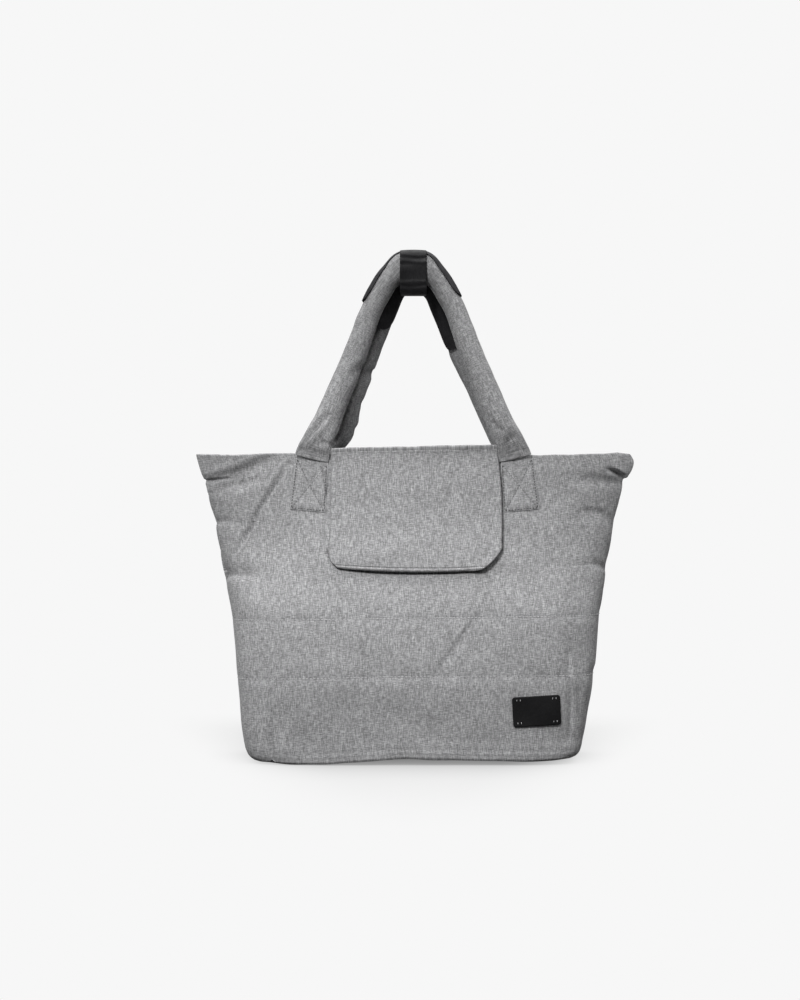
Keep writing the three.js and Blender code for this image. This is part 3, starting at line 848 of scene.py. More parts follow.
# %% [markdown]
# ## Front and back walls
# Each wall is cut to reach from one side seam to the other. A level section is walked along at even
# steps, so the grid's columns run up the cloth as its yarns do. The wall thins to a rounded fold at
# the rim, which isn't quite level, and the two walls lie flat on each other at the wing tips. The
# padding could be a cloth simulation, but the folds have to fall in set places, so the points are
# moved by the folds and waves above.

# %% Wall grid
# Bands of rows up a wall: where each begins and ends, and how many rows it has
WALL_BANDS = [
    (0, 24, 15), (24, 86, 18), (86, 98, 16), (98, 148, 15), (148, 161, 17),
    (161, 196, 13), (196, 212, 18), (212, 294, 34), (294, 314, 18), (314, 322, 4),
]
RIM_BAND = {"height": 8, "rows": 12, "crowd": 1.6}
WALL_ROWS = np.concatenate([
    *(np.linspace(low, high, rows, endpoint=False) for low, high, rows in WALL_BANDS),
    RIM - RIM_BAND["height"] * (1 - np.linspace(0, 1, RIM_BAND["rows"])) ** RIM_BAND["crowd"],
])
WALL_COLUMNS = 260
OUTLINE_SAMPLES = 500
# Places across the rim, and how far it rises or sinks there
RIM_LINE = np.array([
    (-238, 0), (-220, -0.1), (-198, -0.8), (-176, 0), (-162, 1), (-134, 1.1), (-122, 0.3),
    (-90, 0), (90, 0), (122, -0.3), (134, -1.2), (150, -0.3), (172, -0.1), (184, 0.6),
    (208, 0.9), (220, 2.2), (230, 1), (238, 0),
]).T
RIM_FADE = 300


def section_outline(z, columns):
    """Evenly spaced places along the front half of a level section, and their distances along it."""
    share = np.sin(np.linspace(-0.5, 0.5, OUTLINE_SAMPLES) * np.pi)
    x = share * half_width(share, z)
    y = -face_depth(x, z)
    lengths = lengths_along(np.stack([x, y], axis=-1))
    wanted = np.linspace(0, lengths[-1], columns + 1)
    places = np.stack([np.interp(wanted, lengths, x), np.interp(wanted, lengths, y)], axis=-1)
    return places, wanted - lengths[-1] / 2


def rim_lift(x, z):
    """How far the rim rises or sinks off its level, fading out below it."""
    return np.interp(x, *RIM_LINE) * smooth((z - RIM_FADE) / (RIM - RIM_FADE))


def wall_grid(front):
    """Points of a smooth wall and their places on the flat cloth."""
    points = np.zeros((len(WALL_ROWS), WALL_COLUMNS + 1, 3))
    flat = np.zeros((len(WALL_ROWS), WALL_COLUMNS + 1, 2))
    for r, z in enumerate(WALL_ROWS):
        places, flat[r, :, 0] = section_outline(z, WALL_COLUMNS)
        points[r, :, :2] = places
        lifted = arch_lift(places[:, 0], z, front * front_share(places[:, 1]))
        points[r, :, 2] = z + lifted + rim_lift(places[:, 0], z)
    flat[..., 1] = lengths_along(points[:, WALL_COLUMNS // 2])[:, None]
    return points, flat


print("wall grid:", len(WALL_ROWS), "rows and", WALL_COLUMNS, "columns")

# %% Front wall
RIM_EDGE = {"radius": 1.6, "least": 0.0036}
# How much of the outer cloth's rise the lining takes up
LINING_SHARE = 0.6
# Columns beside the two side seams, where the walls are sewn face to face
SEAM_COLUMNS = [0, 1, -2, -1]


def wall_layers(rise, front):
    """Outer and inner points of a wall whose cloth is lifted by rise(x, z)."""
    points, flat = wall_grid(front)
    normals = grid_normals(points)
    heights = np.repeat(WALL_ROWS[:, None], WALL_COLUMNS + 1, axis=1)
    lift = rise(points[..., 0], heights)
    half_wall = WALL / 2 * rounded_edge(RIM - heights, **RIM_EDGE)
    outer = points + normals * (lift - WALL / 2 + half_wall)[..., None]
    inner = points + normals * (LINING_SHARE * lift - WALL / 2 - half_wall)[..., None]
    thinnest = THINNEST_WALL * section("lap", heights)
    outer[..., 1] = np.minimum(outer[..., 1], -GAP / 2 - thinnest)
    inner[..., 1] = np.minimum(inner[..., 1], -GAP / 2)
    inner[:, SEAM_COLUMNS, 1] = -GAP / 2
    for layer in (outer, inner):
        layer[..., 2] = np.maximum(layer[..., 2], 0)
    return outer, inner, flat


front_outer, front_inner, wall_flat = wall_layers(front_rise, 1.0)
front_panel = wall_piece("front_wall", front_outer, front_inner, wall_flat, cloth, lining)
dress(front_panel, "grey_cloth", "front_panel")

# %% Back wall
BACK_FOLDS = [
    fold([(-232, 300), (-205, 303), (-170, 318)], 5, 4, 11, (1, 0.8, 0.1), 0.2),
    fold([(232, 300), (205, 305), (178, 318)], 5, 11, 4, (1, 0.8, 0.1), 0.2),
    fold([(132, 318), (152, 286), (170, 244)], 3.6, 3.5, 6, (0.4, 1, 0.1), 0.2),
    fold([(-128, 268), (-150, 236), (-160, 200)], 2.6, 6, 4),
    fold([(-60, 190), (-30, 150), (-12, 112)], 2.4, 5, 8),
    fold([(150, 60), (158, 30), (156, 6)], 2, 6, 7, (0, 1, 0.6)),
]
BACKWARDS = np.array([1, -1, 1])


def back_rise(x, z):
    """All that lifts or sinks the back of the bag at places on it."""
    return cloth_rise(x, z, BACK_FOLDS, BACK_SEEDS)


back_outer, back_inner = (layer * BACKWARDS for layer in wall_layers(back_rise, 0.0)[:2])
back_panel = wall_piece("back_wall", back_outer, back_inner, wall_flat, cloth, lining)
dress(back_panel, "grey_cloth", "back_panel")

# %% [markdown]
# ## Base
# The padded base is sewn in between the walls. A flat box would leave gaps at the round corners and
# under the arch, so it is a plate of rings that shrink towards the middle. It is arched up with the
# cloth around it and a little crowned on its inner side.

# %% Base
BASE_INSET = 2
BASE_RINGS = np.concatenate([np.linspace(0.02, 0.94, 24), [0.965, 0.985, 1.0]])
BASE_SIDES = 120
BASE_CROWN = 1.5
BASE_EDGE = {"radius": 0.05, "least": 0.01}


def base_plate():
    front_half, _ = section_outline(0, BASE_SIDES)
    outline = np.concatenate([front_half, front_half[1:-1][::-1] * (1, -1)])
    shrink = 1 - BASE_INSET / np.array([SECTIONS["left"][0], SECTIONS["depth"][0]])
    shares = BASE_RINGS[:, None]
    rings = outline[None] * shrink * shares[..., None]
    middle = arch_lift(rings[..., 0], 0, front_share(rings[..., 1])) + WALL / 2
    half_thick = WALL / 2 * rounded_edge(1 - shares, **BASE_EDGE)
    crown = BASE_CROWN * (1 - shares**2)
    under = np.concatenate([rings, (middle - half_thick)[..., None]], axis=-1)
    above = np.concatenate([rings, (middle + half_thick + crown)[..., None]], axis=-1)
    flat = np.concatenate([rings, rings[:, :1]], axis=1)
    return wall_piece("base_plate", under, above, flat, cloth, lining, wrap=True)


base = dress(base_plate(), "grey_cloth", "base_panel")

# %% [markdown]
# ## Flap
# The flap is a flat pad, sewn inside the back rim, that folds over the mouth and hangs down the
# front. A bent box would look stiff, so its course is a smooth curve through a few rows, and its
# padding swells between rounded edges. A seam runs along the lower edge, a few millimetres above it.

# %% Flap course
FLAP_ROWS = np.array([
    # share of the depth, height, half width to the left and to the right, distance off the face
    (1, 308, 85, 85, -8),
    (1, 322, 85, 85, -9.8),
    (1, 331, 85, 85, -11),
    (0.8, 334.4, 86, 86, -10),
    (0.3, 335.1, 88, 87, -4),
    (-0.3, 335.1, 89.5, 88.5, 2),
    (-0.93, 335.2, 89.6, 88.8, 5.2),
    (-1, 333.5, 89.7, 89.2, 4.6),
    (-1, 325, 89.8, 90, 4.2),
    (-1, 290, 90.2, 93, 3.3),
    (-1, 255, 90.6, 93.4, 3.3),
    (-1, 232, 90.9, 93, 4),
    (-1, 217, 91, 92.5, 4.4),
    (-1, 209.5, 91, 92.4, 4.8),
    (-1, 206.8, 91, 92.4, 5),
])
FLAP_FOLD = 335
FLAP_BOW = 3
# The top edge is lower at the left, the lower edge is lower at the right
FLAP_TILT = {"top": 1.8, "low": -0.9}
# The lower right corner stands off the wall: how far, and from which share across
FLAP_STAND_OFF = {"reach": 2, "from": 0.75}
FLAP_CORNER = {"left": 11, "right": 22, "power": 1.3}
FLAP_GRID = (150, 130)
FLAP_CROWD = {"rows": 1.5, "columns": 0.45}


def course(values, shares):
    """Points of a smooth curve through rows of values, at shares of its length."""
    values = np.asarray(values, float)
    ends = 2 * values[[0, -1]] - values[[1, -2]]
    held = np.concatenate([ends[:1], values, ends[1:]])
    place = np.clip(shares, 0, 1) * (len(values) - 1)
    i = np.minimum(place.astype(int), len(values) - 2)
    t = (place - i)[:, None]
    start, end = held[i + 1], held[i + 2]
    start_pull, end_pull = (held[i + 2] - held[i]) / 2, (held[i + 3] - held[i + 1]) / 2
    pull = t * (1 - t) ** 2 * start_pull - t**2 * (1 - t) * end_pull
    return start * (1 - smooth(t)) + end * smooth(t) + pull


def flap_middle():
    """Middle points of the flap, shares across it, and each row's half width, side and height."""
    rows, columns = FLAP_GRID
    along = 1 - (1 - np.linspace(0, 1, rows)) ** FLAP_CROWD["rows"]
    side, level, left, right, off = course(FLAP_ROWS, along).T[:, :, None]
    across = crowded(columns, FLAP_CROWD["columns"])
    lowest = FLAP_ROWS[-1, 1]
    radius = np.where(across < 0, FLAP_CORNER["left"], FLAP_CORNER["right"])
    corner = np.where(side < 0, np.clip(1 - (level - lowest) / radius, 0, 1), 0)
    power = FLAP_CORNER["power"]
    reach = np.where(across < 0, left, right) - radius * (1 - (1 - corner**power) ** (1 / power))
    x = across * reach
    low = smooth((FLAP_FOLD - level) / (FLAP_FOLD - lowest)) * (side < 0)
    bow = FLAP_BOW * (1 - across**2) * smooth(2 * along - 1)[:, None]
    z = level - bow + across * (FLAP_TILT["top"] * (1 - low) + FLAP_TILT["low"] * low)
    to_right = (across - FLAP_STAND_OFF["from"]) / (1 - FLAP_STAND_OFF["from"])
    off = off + FLAP_STAND_OFF["reach"] * smooth(to_right) * low
    middle = np.stack([x, side * (face_depth(x, z) + off), z], axis=-1)
    return middle, across, reach, side, level


print("flap course:", len(FLAP_ROWS), "rows")

# %% Flap padding
FLAP = {"thick": 5.5, "edge_thick": 3.4, "soft": 11, "hang": 14}
FLAP_EDGE = {"radius": 1.5, "least": 0.004}
# How closely the thin edge follows the wall, at the left and at the right
FLAP_HUG = (0.95, 0.1)
FLAP_SEAM = {"above": 3.6, "deep": 0.9, "reach": 0.6, "lip": 0.35, "lip_reach": 1.3}
FLAP_SEED = 31
FLAP_WAVES = {"count": 30, "shortest": 24, "longest": 90, "height": 0.3}


def flap_groove(to_end):
    """How deep the seam sinks the flap at distances from its lower edge, where a lip stands up."""
    from_seam = (to_end - FLAP_SEAM["above"]) / FLAP_SEAM["reach"]
    from_lip = (to_end - FLAP_SEAM["above"] / 2) / FLAP_SEAM["lip_reach"]
    return FLAP_SEAM["deep"] * np.exp(-(from_seam**2)) - FLAP_SEAM["lip"] * np.exp(-(from_lip**2))


def flap_layers():
    """Outer and inner points of the flap, and their places on the flat cloth."""
    middle, across, reach, side, level = flap_middle()
    normals = -grid_normals(middle)
    x = middle[..., 0]
    passed = lengths_along(middle[:, len(across) // 2])[:, None] + 0 * x
    to_end = passed[-1] - passed
    to_edge = np.minimum((1 - np.abs(across)) * reach, np.minimum(to_end, passed))
    front = (side < 0) * 1.0
    hangs = front * smooth((FLAP_FOLD - level) / FLAP["hang"])
    soft = 1 - hangs * np.exp(-((to_edge / FLAP["soft"]) ** 2))
    thick = FLAP["edge_thick"] + (FLAP["thick"] - FLAP["edge_thick"]) * soft
    half = thick / 2 * rounded_edge(to_edge, **FLAP_EDGE)
    sink = front * np.interp(across, (-1, 1), FLAP_HUG) * (FLAP["thick"] - thick) / 2
    wrinkles = wave_rise(x, passed, FLAP_SEED, **FLAP_WAVES) * soft
    outer = middle + normals * (half - sink + wrinkles - flap_groove(to_end) * front)[..., None]
    inner = middle - normals * (half + sink)[..., None]
    return outer, inner, np.stack([x, passed], axis=-1)


flap = wall_piece("flap_pad", *flap_layers(), cloth)
dress(flap, "grey_cloth", "closure_flap")

# %% [markdown]
# ## Handles
# Each handle is a stuffed cloth tube. A curve object with a round bevel would give a plain tube,
# without flat feet or creases. So a smooth curve through one leg and its mirror image gives the
# line, and an ellipse is carried along it in code. The tube has a seam down its inner side, a few
# creases near its feet where it bends, and an end that flattens into the sewn tab. The two left
# legs lean together, and the back one sags inwards and is squeezed into a deep crease.

# %% Handle lines
HANDLE_ROWS = np.array([
    # x, z, y, width, depth, how much nearer the back handle's left and right legs hang, how far its
    # left leg leans forward, and how much narrower the front handle is on its inner side
    (109.5, 324, 31.5, 36.5, 1.2, 0, 0, 0, 0),
    (107.6, 331.5, 32.3, 35, 2.4, 2, 0, 0, 0),
    (104.2, 341.5, 33.4, 31.5, 8, 10.5, 0, 0, 0.4),
    (94.5, 360, 33, 30, 20, 16, 0, 15, 1),
    (80.5, 392, 31, 29, 24, 11.5, 1, 28, 2),
    (58.5, 445, 25, 28, 24, 9, 5, 19, 3.2),
    (45, 480, 19, 28, 24, 9, 4.6, 10, 5),
    (29.8, 508.5, 15, 30, 24, 3.5, 0.5, 1, 6.5),
    (18.5, 521.5, 14.5, 33, 24, 1, 0, 0, 7.5),
    (9, 528.4, 14.5, 39.5, 24, 0, 0, 0, 7),
    (0, 528.5, 14.5, 38, 24, 0, 0, 0, 6),
])
# The middle of the handles lies a little to the left
HANDLE_SHIFT = -1.5
FRONT, BACK = -1, 1
HANDLE_GRID = (300, 88)
# How much of the lean the front handle's left leg takes up
FRONT_LEAN = 0.25
TANGENT_STEP = 1e-4


def handle_line(face):
    """Rows of x, y, z, width, depth and slimness from the left foot over the top to the right foot."""
    x, z, y, wide, deep, back_left, back_right, lean, slim = HANDLE_ROWS.T
    hangs = face == BACK
    slim = slim * (face == FRONT)
    together = np.where(hangs, -lean, FRONT_LEAN * lean)
    left = [-(x - hangs * back_left) + HANDLE_SHIFT, face * y + together, z, wide, deep, slim]
    right = [x - hangs * back_right + HANDLE_SHIFT, face * y, z, wide, deep, slim]
    return np.concatenate([np.transpose(left), np.transpose(right)[:-1][::-1]])


def handle_frames(face, shares):
    """Centre, outward axis, backward axis and half sizes of a handle at shares of its length."""
    rows = handle_line(face)
    found = course(rows, shares)
    before, after = course(rows, shares - TANGENT_STEP), course(rows, shares + TANGENT_STEP)
    tangent = unit(after[:, :3] - before[:, :3])
    backward = unit(np.array([0.0, 1.0, 0.0]) - tangent * tangent[:, 1:2])
    outward = np.cross(tangent, backward)
    wide, deep, slim = found[:, 3:].T
    centre = found[:, :3] + outward * slim[:, None] / 2
    return centre, outward, backward, (wide - slim) / 2, deep / 2


print("handles:", len(HANDLE_ROWS), "rows a leg")

# %% Handle creases
FRONT_HANDLE_FOLDS = [
    fold([(-93, 371), (-104, 359), (-117, 345)], 3.0, 2.6, 3.4, (0.6, 1, 0.4), 0.25),
    fold([(-104, 338), (-98, 342), (-89, 340)], 2.4, 2, 2.4, (0.3, 1, 0.6)),
    fold([(-58, 424), (-69, 413), (-83, 398)], 1.8, 3.5, 4, (1, 0.6, 0), 0.2),
    fold([(85, 362), (90, 357), (95, 350)], 2.2, 2.4, 2.4, (0.6, 1, 0.2), 0.2),
    fold([(109, 352), (101, 343), (96, 333)], 1.4, 3, 3, (0.2, 1, 0.4)),
]
BACK_HANDLE_FOLDS = [
    # The left leg is squeezed into a deep crease beside the front handle
    fold([(-24, 505), (-31.5, 491.6), (-43.5, 456.7), (-62.5, 413), (-76.5, 371.7), (-85, 345.5)],
         6, 2.4, 2.2, (0.5, 1, 1, 1, 1, 0.8)),
    fold([(-66, 417), (-57, 416), (-46, 420)], 3.4, 3, 4, (0.6, 1, 1), 0.3),
    fold([(-72, 352), (-66, 357), (-58, 362)], 2.6, 2.6, 3, (0.6, 1, 0.8), 0.2),
    fold([(-66, 392), (-58, 386), (-50, 388)], 2.0, 4, 4, (0.4, 1, 0.6)),
    fold([(30, 452), (36, 446), (44, 442)], 1.6, 3, 4),
]
print("handle creases:", len(FRONT_HANDLE_FOLDS), "front,", len(BACK_HANDLE_FOLDS), "back")

# %% Handle skins
HANDLE_EDGE = {"radius": 1.4, "least": 0.0025}
FOOT = {"reach": 40, "squareness": 5}
HANDLE_SEAM = {"half_angle": 0.09, "height": 0.5, "groove": 0.8, "groove_at": 2.4}
SEAM_ANGLE = {FRONT: np.pi + 0.1, BACK: np.pi}
HANDLE_SEEDS = {FRONT: 49, BACK: 51}
HANDLE_WAVES = {"count": 40, "shortest": 22, "longest": 80, "height": 0.22}
HANDLE_RADIUS = 14
# The creases show on the side that faces the camera and fade round to the other
CREASE_FACING = {"rate": 2, "from": 0.6}
HANDLE_CORE = 0.5


def squared_circle(angles, power):
    """Cosine and sine of a circle that a power below one draws out towards a square."""
    cos, sin = np.cos(angles), np.sin(angles)
    return np.sign(cos) * np.abs(cos) ** power, np.sign(sin) * np.abs(sin) ** power


def handle_skin(face, shares, angles, folds=()):
    """Points on a handle's skin: a row for each share of its length, a column for each angle."""
    centre, outward, backward, half_wide, half_deep = handle_frames(face, shares)
    above_foot = np.clip(centre[:, 2:3] - HANDLE_ROWS[0, 1], 0, None)
    squared = 1 - smooth(above_foot / FOOT["reach"])
    cos, sin = squared_circle(angles, 2 / (2 + (FOOT["squareness"] - 2) * squared))
    wide = (half_wide[:, None] * cos)[..., None] * outward[:, None]
    deep = (half_deep[:, None] * sin)[..., None] * backward[:, None]
    points = centre[:, None] + wide + deep
    away = unit(points - centre[:, None])
    passed = lengths_along(centre)[:, None]
    around = HANDLE_RADIUS * angles + 0 * passed
    rise = wave_rise(passed, around, HANDLE_SEEDS[face], **HANDLE_WAVES)
    facing = smooth(CREASE_FACING["from"] - CREASE_FACING["rate"] * away[..., 1])
    rise += fold_rise(points[..., 0], points[..., 2], folds) * facing
    return points + away * rise[..., None], passed


def handle_piece(name, face, folds):
    """A stuffed tube with a seam along it and rounded ends."""
    rings, sides = HANDLE_GRID
    angles = np.linspace(0, 2 * np.pi, sides, endpoint=False)[None]
    points, passed = handle_skin(face, np.linspace(0, 1, rings), angles, folds)
    centre = points.mean(axis=1, keepdims=True)
    from_seam = (angles - SEAM_ANGLE[face]) / HANDLE_SEAM["half_angle"]
    from_groove = np.abs(from_seam) - HANDLE_SEAM["groove_at"]
    seam = HANDLE_SEAM["height"] * np.exp(-(from_seam**2))
    seam = seam - HANDLE_SEAM["groove"] * np.exp(-(from_groove**2))
    points = points + unit(points - centre) * seam[..., None]
    tuck = rounded_edge(np.minimum(passed, passed[-1] - passed), **HANDLE_EDGE)
    points = centre + (points - centre) * tuck[..., None]
    girth = lengths_along(points[rings // 4])[-1]
    around = np.linspace(0, girth, sides + 1)[None]
    flat = np.stack([around + 0 * passed, passed + 0 * around], axis=-1)
    core = centre + (points - centre) * HANDLE_CORE
    return wall_piece(name, points, core, flat, cloth, wrap=True)


front_handle = handle_piece("front_tube", FRONT, FRONT_HANDLE_FOLDS)
back_handle = handle_piece("back_tube", BACK, BACK_HANDLE_FOLDS)
dress(front_handle, "grey_cloth", "front_handle")
dress(back_handle, "grey_cloth", "back_handle")

# %% [markdown]
# ## Leather on the handles
# A leather saddle lies on each handle's inner side at the top, with rounded ends on the legs. It is
# laid on the tube's skin by its angle round the tube and its share of the tube's length. The cuff
# is a strip wrapped round both handles, squeezed into level wrinkles.

# %% Saddles
SADDLE = {"thick": 1.3, "float": 0.9, "flat_half": 30, "narrowest": 0.02, "crowd": 1.4}
SADDLE_EDGE = {"radius": 1.3, "least": 0.02}
SADDLE_HALF_ANGLE = {FRONT: np.radians(102), BACK: np.radians(118)}
# How far round to the outer side the saddle lies, at the top and at its two ends
SADDLE_TURN = {FRONT: np.radians((4, 58)), BACK: np.radians((14, 14))}
# Its reach to the left and the right of the top, in shares of the tube's length
SADDLE_REACH = {FRONT: (0.187, 0.179), BACK: (0.221, 0.245)}
# How square the saddle's left and right ends are
SADDLE_END_POWER = {FRONT: (5, 6), BACK: (3.8, 6.5)}
# How the turn grows towards the left and right ends: at once when low, near the end when high
SADDLE_TURN_RATE = (2, 0.9)
SADDLE_GRID = (110, 48)


def saddle_piece(name, face):
    """A leather sheet with rounded ends, bent round the top of a handle."""
    rows, columns = SADDLE_GRID
    spaced = np.linspace(-1, 1, rows)
    along = np.sign(spaced) * (1 - (1 - np.abs(spaced)) ** SADDLE["crowd"])
    power = np.where(along < 0, *SADDLE_END_POWER[face])
    narrow = (1 - np.abs(along) ** power) ** (1 / power)
    narrow = np.maximum(narrow, SADDLE["narrowest"])[:, None]
    across = np.linspace(-1, 1, columns)[None]
    top_turn, end_turn = SADDLE_TURN[face]
    rate = np.where(along < 0, *SADDLE_TURN_RATE)
    turn = top_turn + (end_turn - top_turn) * (np.abs(along) ** rate)[:, None]
    inward = -face * (np.pi / 2 - turn)
    angles = inward + SADDLE_HALF_ANGLE[face] * narrow * across
    shares = 0.5 + np.where(along < 0, *SADDLE_REACH[face]) * along
    skin, passed = handle_skin(face, shares, angles)
    away = unit(skin - handle_frames(face, shares)[0][:, None])
    flat_half = narrow * SADDLE["flat_half"]
    half = SADDLE["thick"] / 2 * rounded_edge((1 - np.abs(across)) * flat_half, **SADDLE_EDGE)
    middle = SADDLE["float"] + SADDLE["thick"] / 2
    outer = skin + away * (middle + half)[..., None]
    inner = skin + away * (middle - half)[..., None]
    flat = np.stack([across * flat_half, passed + 0 * across], axis=-1)
    return wall_piece(name, outer, inner, flat, saddle_leather)


front_saddle = dress(saddle_piece("front_saddle", FRONT), "black_leather", "front_grip_patch")
back_saddle = dress(saddle_piece("back_saddle", BACK), "black_leather", "back_grip_patch")

# %% Cuff
CUFF = {"half_long": 14.5, "thick": 1.6, "squareness": 5, "x": -1.3, "tilt": 4, "waist": 1}
CUFF_SIZE = {"top": 551.5, "top_drop": 0.8, "bottom": 500.5, "half_deep": 29}
CUFF_EDGE = {"radius": 1.6, "least": 0.02}
CUFF_GRID = (46, 160)
# Heights of the wrinkles, their depths and their reach, and how they drift along the cuff
CUFF_WRINKLES = [
    (541, 1.0, 3.0), (534, 0.8, 1.8), (527, -0.8, 4.0), (519, 0.9, 2.2), (511, 0.7, 2.0),
]
WRINKLE_DRIFT = {"height": 0.8, "length": 6}


def cuff_piece():
    rows, columns = CUFF_GRID
    x = CUFF["half_long"] * crowded(rows, 1)[:, None]
    angle = np.linspace(0, 2 * np.pi, columns, endpoint=False)[None]
    up, back = squared_circle(angle, 2 / CUFF["squareness"])
    to_end = (x / CUFF["half_long"]) ** 2
    half = CUFF["thick"] / 2 * rounded_edge(CUFF["half_long"] - np.abs(x), **CUFF_EDGE)
    top = CUFF_SIZE["top"] - CUFF_SIZE["top_drop"] * to_end
    middle = (top + CUFF_SIZE["bottom"]) / 2
    half_deep = CUFF_SIZE["half_deep"] - CUFF["waist"] * (1 - to_end)

    def layer(off):
        """The strip's points at a distance off its middle layer."""
        past = off - CUFF["thick"] / 2
        y = back * (half_deep + past)
        z = middle + (top - middle + past) * up
        z = z + CUFF["tilt"] * np.clip(-up, 0, 1) * (1 + back) / 2
        wrinkle = np.zeros_like(z)
        for level, depth, reach in CUFF_WRINKLES:
            drift = WRINKLE_DRIFT["height"] * np.sin(x / WRINKLE_DRIFT["length"] + level)
            wrinkle -= depth * np.exp(-(((z - level + drift) / reach) ** 2))
        y = y + np.sign(y) * wrinkle * np.sqrt(np.abs(np.sin(angle)))
        return np.stack([x + CUFF["x"] + 0 * z, y, z], axis=-1)

    outer, inner = layer(half), layer(-half)
    around = np.linspace(0, lengths_along(outer[rows // 2])[-1], columns + 1)[None]
    flat = np.stack([around + 0 * x, x + 0 * around], axis=-1)
    return wall_piece("cuff_strip", outer, inner, flat, cuff_leather, wrap=True)


cuff = dress(cuff_piece(), "black_leather", "grip_cuff")

# %% [markdown]
# ## Tabs
# The flattened end of each handle is sewn to the wall with a box of stitches and a cross. Between
# the stitches the cloth puffs up a little. A tab is laid on the wall by its four corners, so that
# it follows every fold of the wall and stays clear of it.

# %% Tabs
TAB_CORNERS = {
    "inner_low": (95.5, 267),
    "outer_low": (134, 270.5),
    "inner_high": (93, 321.5),
    "outer_high": (127, 328.5),
}
TAB_GRID = (44, 40)
TAB = {"float": 0.2, "thick": 0.7, "puff": 0.8, "seam": 1.4, "seam_reach": 2.2}
TAB_EDGE = {"radius": 0.7, "least": 0.02}
# The flat cloth's size without its hem, and the size that turns shares off the cross into mm
TAB_FLAT = {"across": 38, "up": 52, "cross": 30}
LEFT, RIGHT = -1, 1


def tab_places(side, across, up):
    """Places on the front view for shares across a tab, from its inner edge, and up it."""
    corner = {name: np.array(place, float) for name, place in TAB_CORNERS.items()}
    across, up = across[..., None], up[..., None]
    low = corner["inner_low"] * (1 - across) + corner["outer_low"] * across
    high = corner["inner_high"] * (1 - across) + corner["outer_high"] * across
    return (low * (1 - up) + high * up) * (side, 1)


def tab_skin(face, side, across, up, off):
    x, z = np.moveaxis(tab_places(side, across, up), -1, 0)
    rise = front_rise(x, z) if face == FRONT else back_rise(x, z)
    return np.stack([x, face * (face_depth(x, z) + rise + off), z], axis=-1)


def tab_piece(name, face, side):
    """A sewn handle end that puffs up between its stitches."""
    rows, columns = TAB_GRID
    up, across = np.meshgrid(np.linspace(0, 1, rows), np.linspace(0, 1, columns), indexing="ij")
    flat = np.stack([TAB_FLAT["across"] * across, TAB_FLAT["up"] * up], axis=-1)
    flat_size = (TAB_FLAT["across"], TAB_FLAT["up"])
    to_edge = np.minimum(flat, flat_size - flat).min(axis=-1)
    to_box = np.abs(to_edge - TAB["seam"])
    cross = np.minimum(np.abs(across - up), np.abs(across + up - 1)) * TAB_FLAT["cross"]
    cross = np.where(to_edge > TAB["seam"], cross, TAB_FLAT["cross"])
    sewn = np.minimum(to_box, cross)
    puff = TAB["puff"] * (1 - np.exp(-((sewn / TAB["seam_reach"]) ** 2)))
    half = TAB["thick"] / 2 * rounded_edge(to_edge, **TAB_EDGE)
    middle = TAB["float"] + TAB["thick"] / 2
    outer = tab_skin(face, side, across, up, middle + half + puff)
    inner = tab_skin(face, side, across, up, middle - half)
    return wall_piece(name, outer, inner, flat, cloth)


tabs = {}
for face, face_name in ((FRONT, "front"), (BACK, "back")):
    for side, side_name in ((LEFT, "left"), (RIGHT, "right")):
        tab = tab_piece(f"{face_name}_{side_name}_tab_cloth", face, side)
        tabs[face, side] = dress(tab, "grey_cloth", f"{face_name}_{side_name}_tab")

# %% [markdown]
# ## Label
# A small rectangle of leather with rounded corners, sewn on by two short stitches at each corner. A
# bevelled box would do on a flat wall. This wall swells, so the label is a grid laid on its cloth,
# and it thins off at its rounded edge.

# %% Label
LABEL = {"x": 129, "z": 57.3, "width": 51, "height": 32, "turn": np.radians(3), "corner": 3.0}
LABEL_GRID = (40, 60)
LABEL_CROWD = 0.5
LABEL_SKIN = {"float": 0.6, "thick": 2.0}
LABEL_EDGE = {"radius": 1.0, "least": 0.1}


def label_skin(across, up, off):
    """Points on the front wall under places on the turned label."""
    cos, sin = np.cos(LABEL["turn"]), np.sin(LABEL["turn"])
    x = LABEL["x"] + across * cos - up * sin
    z = LABEL["z"] + across * sin + up * cos
    return np.stack([x, -(face_depth(x, z) + front_rise(x, z) + off), z], axis=-1)


def label_piece():
    rows, columns = LABEL_GRID
    half_height = LABEL["height"] / 2
    up = crowded(rows, LABEL_CROWD)[:, None] * half_height
    past_up = np.maximum(np.abs(up) - (half_height - LABEL["corner"]), 0)
    reach = LABEL["width"] / 2 - LABEL["corner"] + np.sqrt(LABEL["corner"] ** 2 - past_up**2)
    share = crowded(columns, LABEL_CROWD)[None]
    across, up = share * reach, up + 0 * share
    to_edge = np.minimum((1 - np.abs(share)) * reach, half_height - np.abs(up))
    half = LABEL_SKIN["thick"] / 2 * rounded_edge(to_edge, **LABEL_EDGE)
    middle = LABEL_SKIN["float"] + LABEL_SKIN["thick"] / 2
    outer = label_skin(across, up, middle + half)
    inner = label_skin(across, up, middle - half)
    flat = np.stack([across, up], axis=-1)
    return wall_piece("label_leather", outer, inner, flat, label_leather)


label = dress(label_piece(), "black_leather", "leather_label")

# %% [markdown]
# ## Stitches
# A stitch is a short thread that bulges between two holes. A painted row would stay flat and blur
# close up, so each stitch has its own form. All the stitches of a seam are one mesh: a row of small
# spindles laid along a line on the cloth, each a few rings of points.

# %% Stitches
# Shares along a stitch, and its thickness there
STITCH_SHAPE = np.array([
    (0.0, 0.25), (0.12, 0.75), (0.35, 1.0), (0.65, 1.0), (0.88, 0.75), (1.0, 0.25),
])
STITCH_SIDES = 6
# Two faces of four corners close the six sides at either end
STITCH_CAP = np.array([[3, 2, 1, 0], [5, 4, 3, 0]])


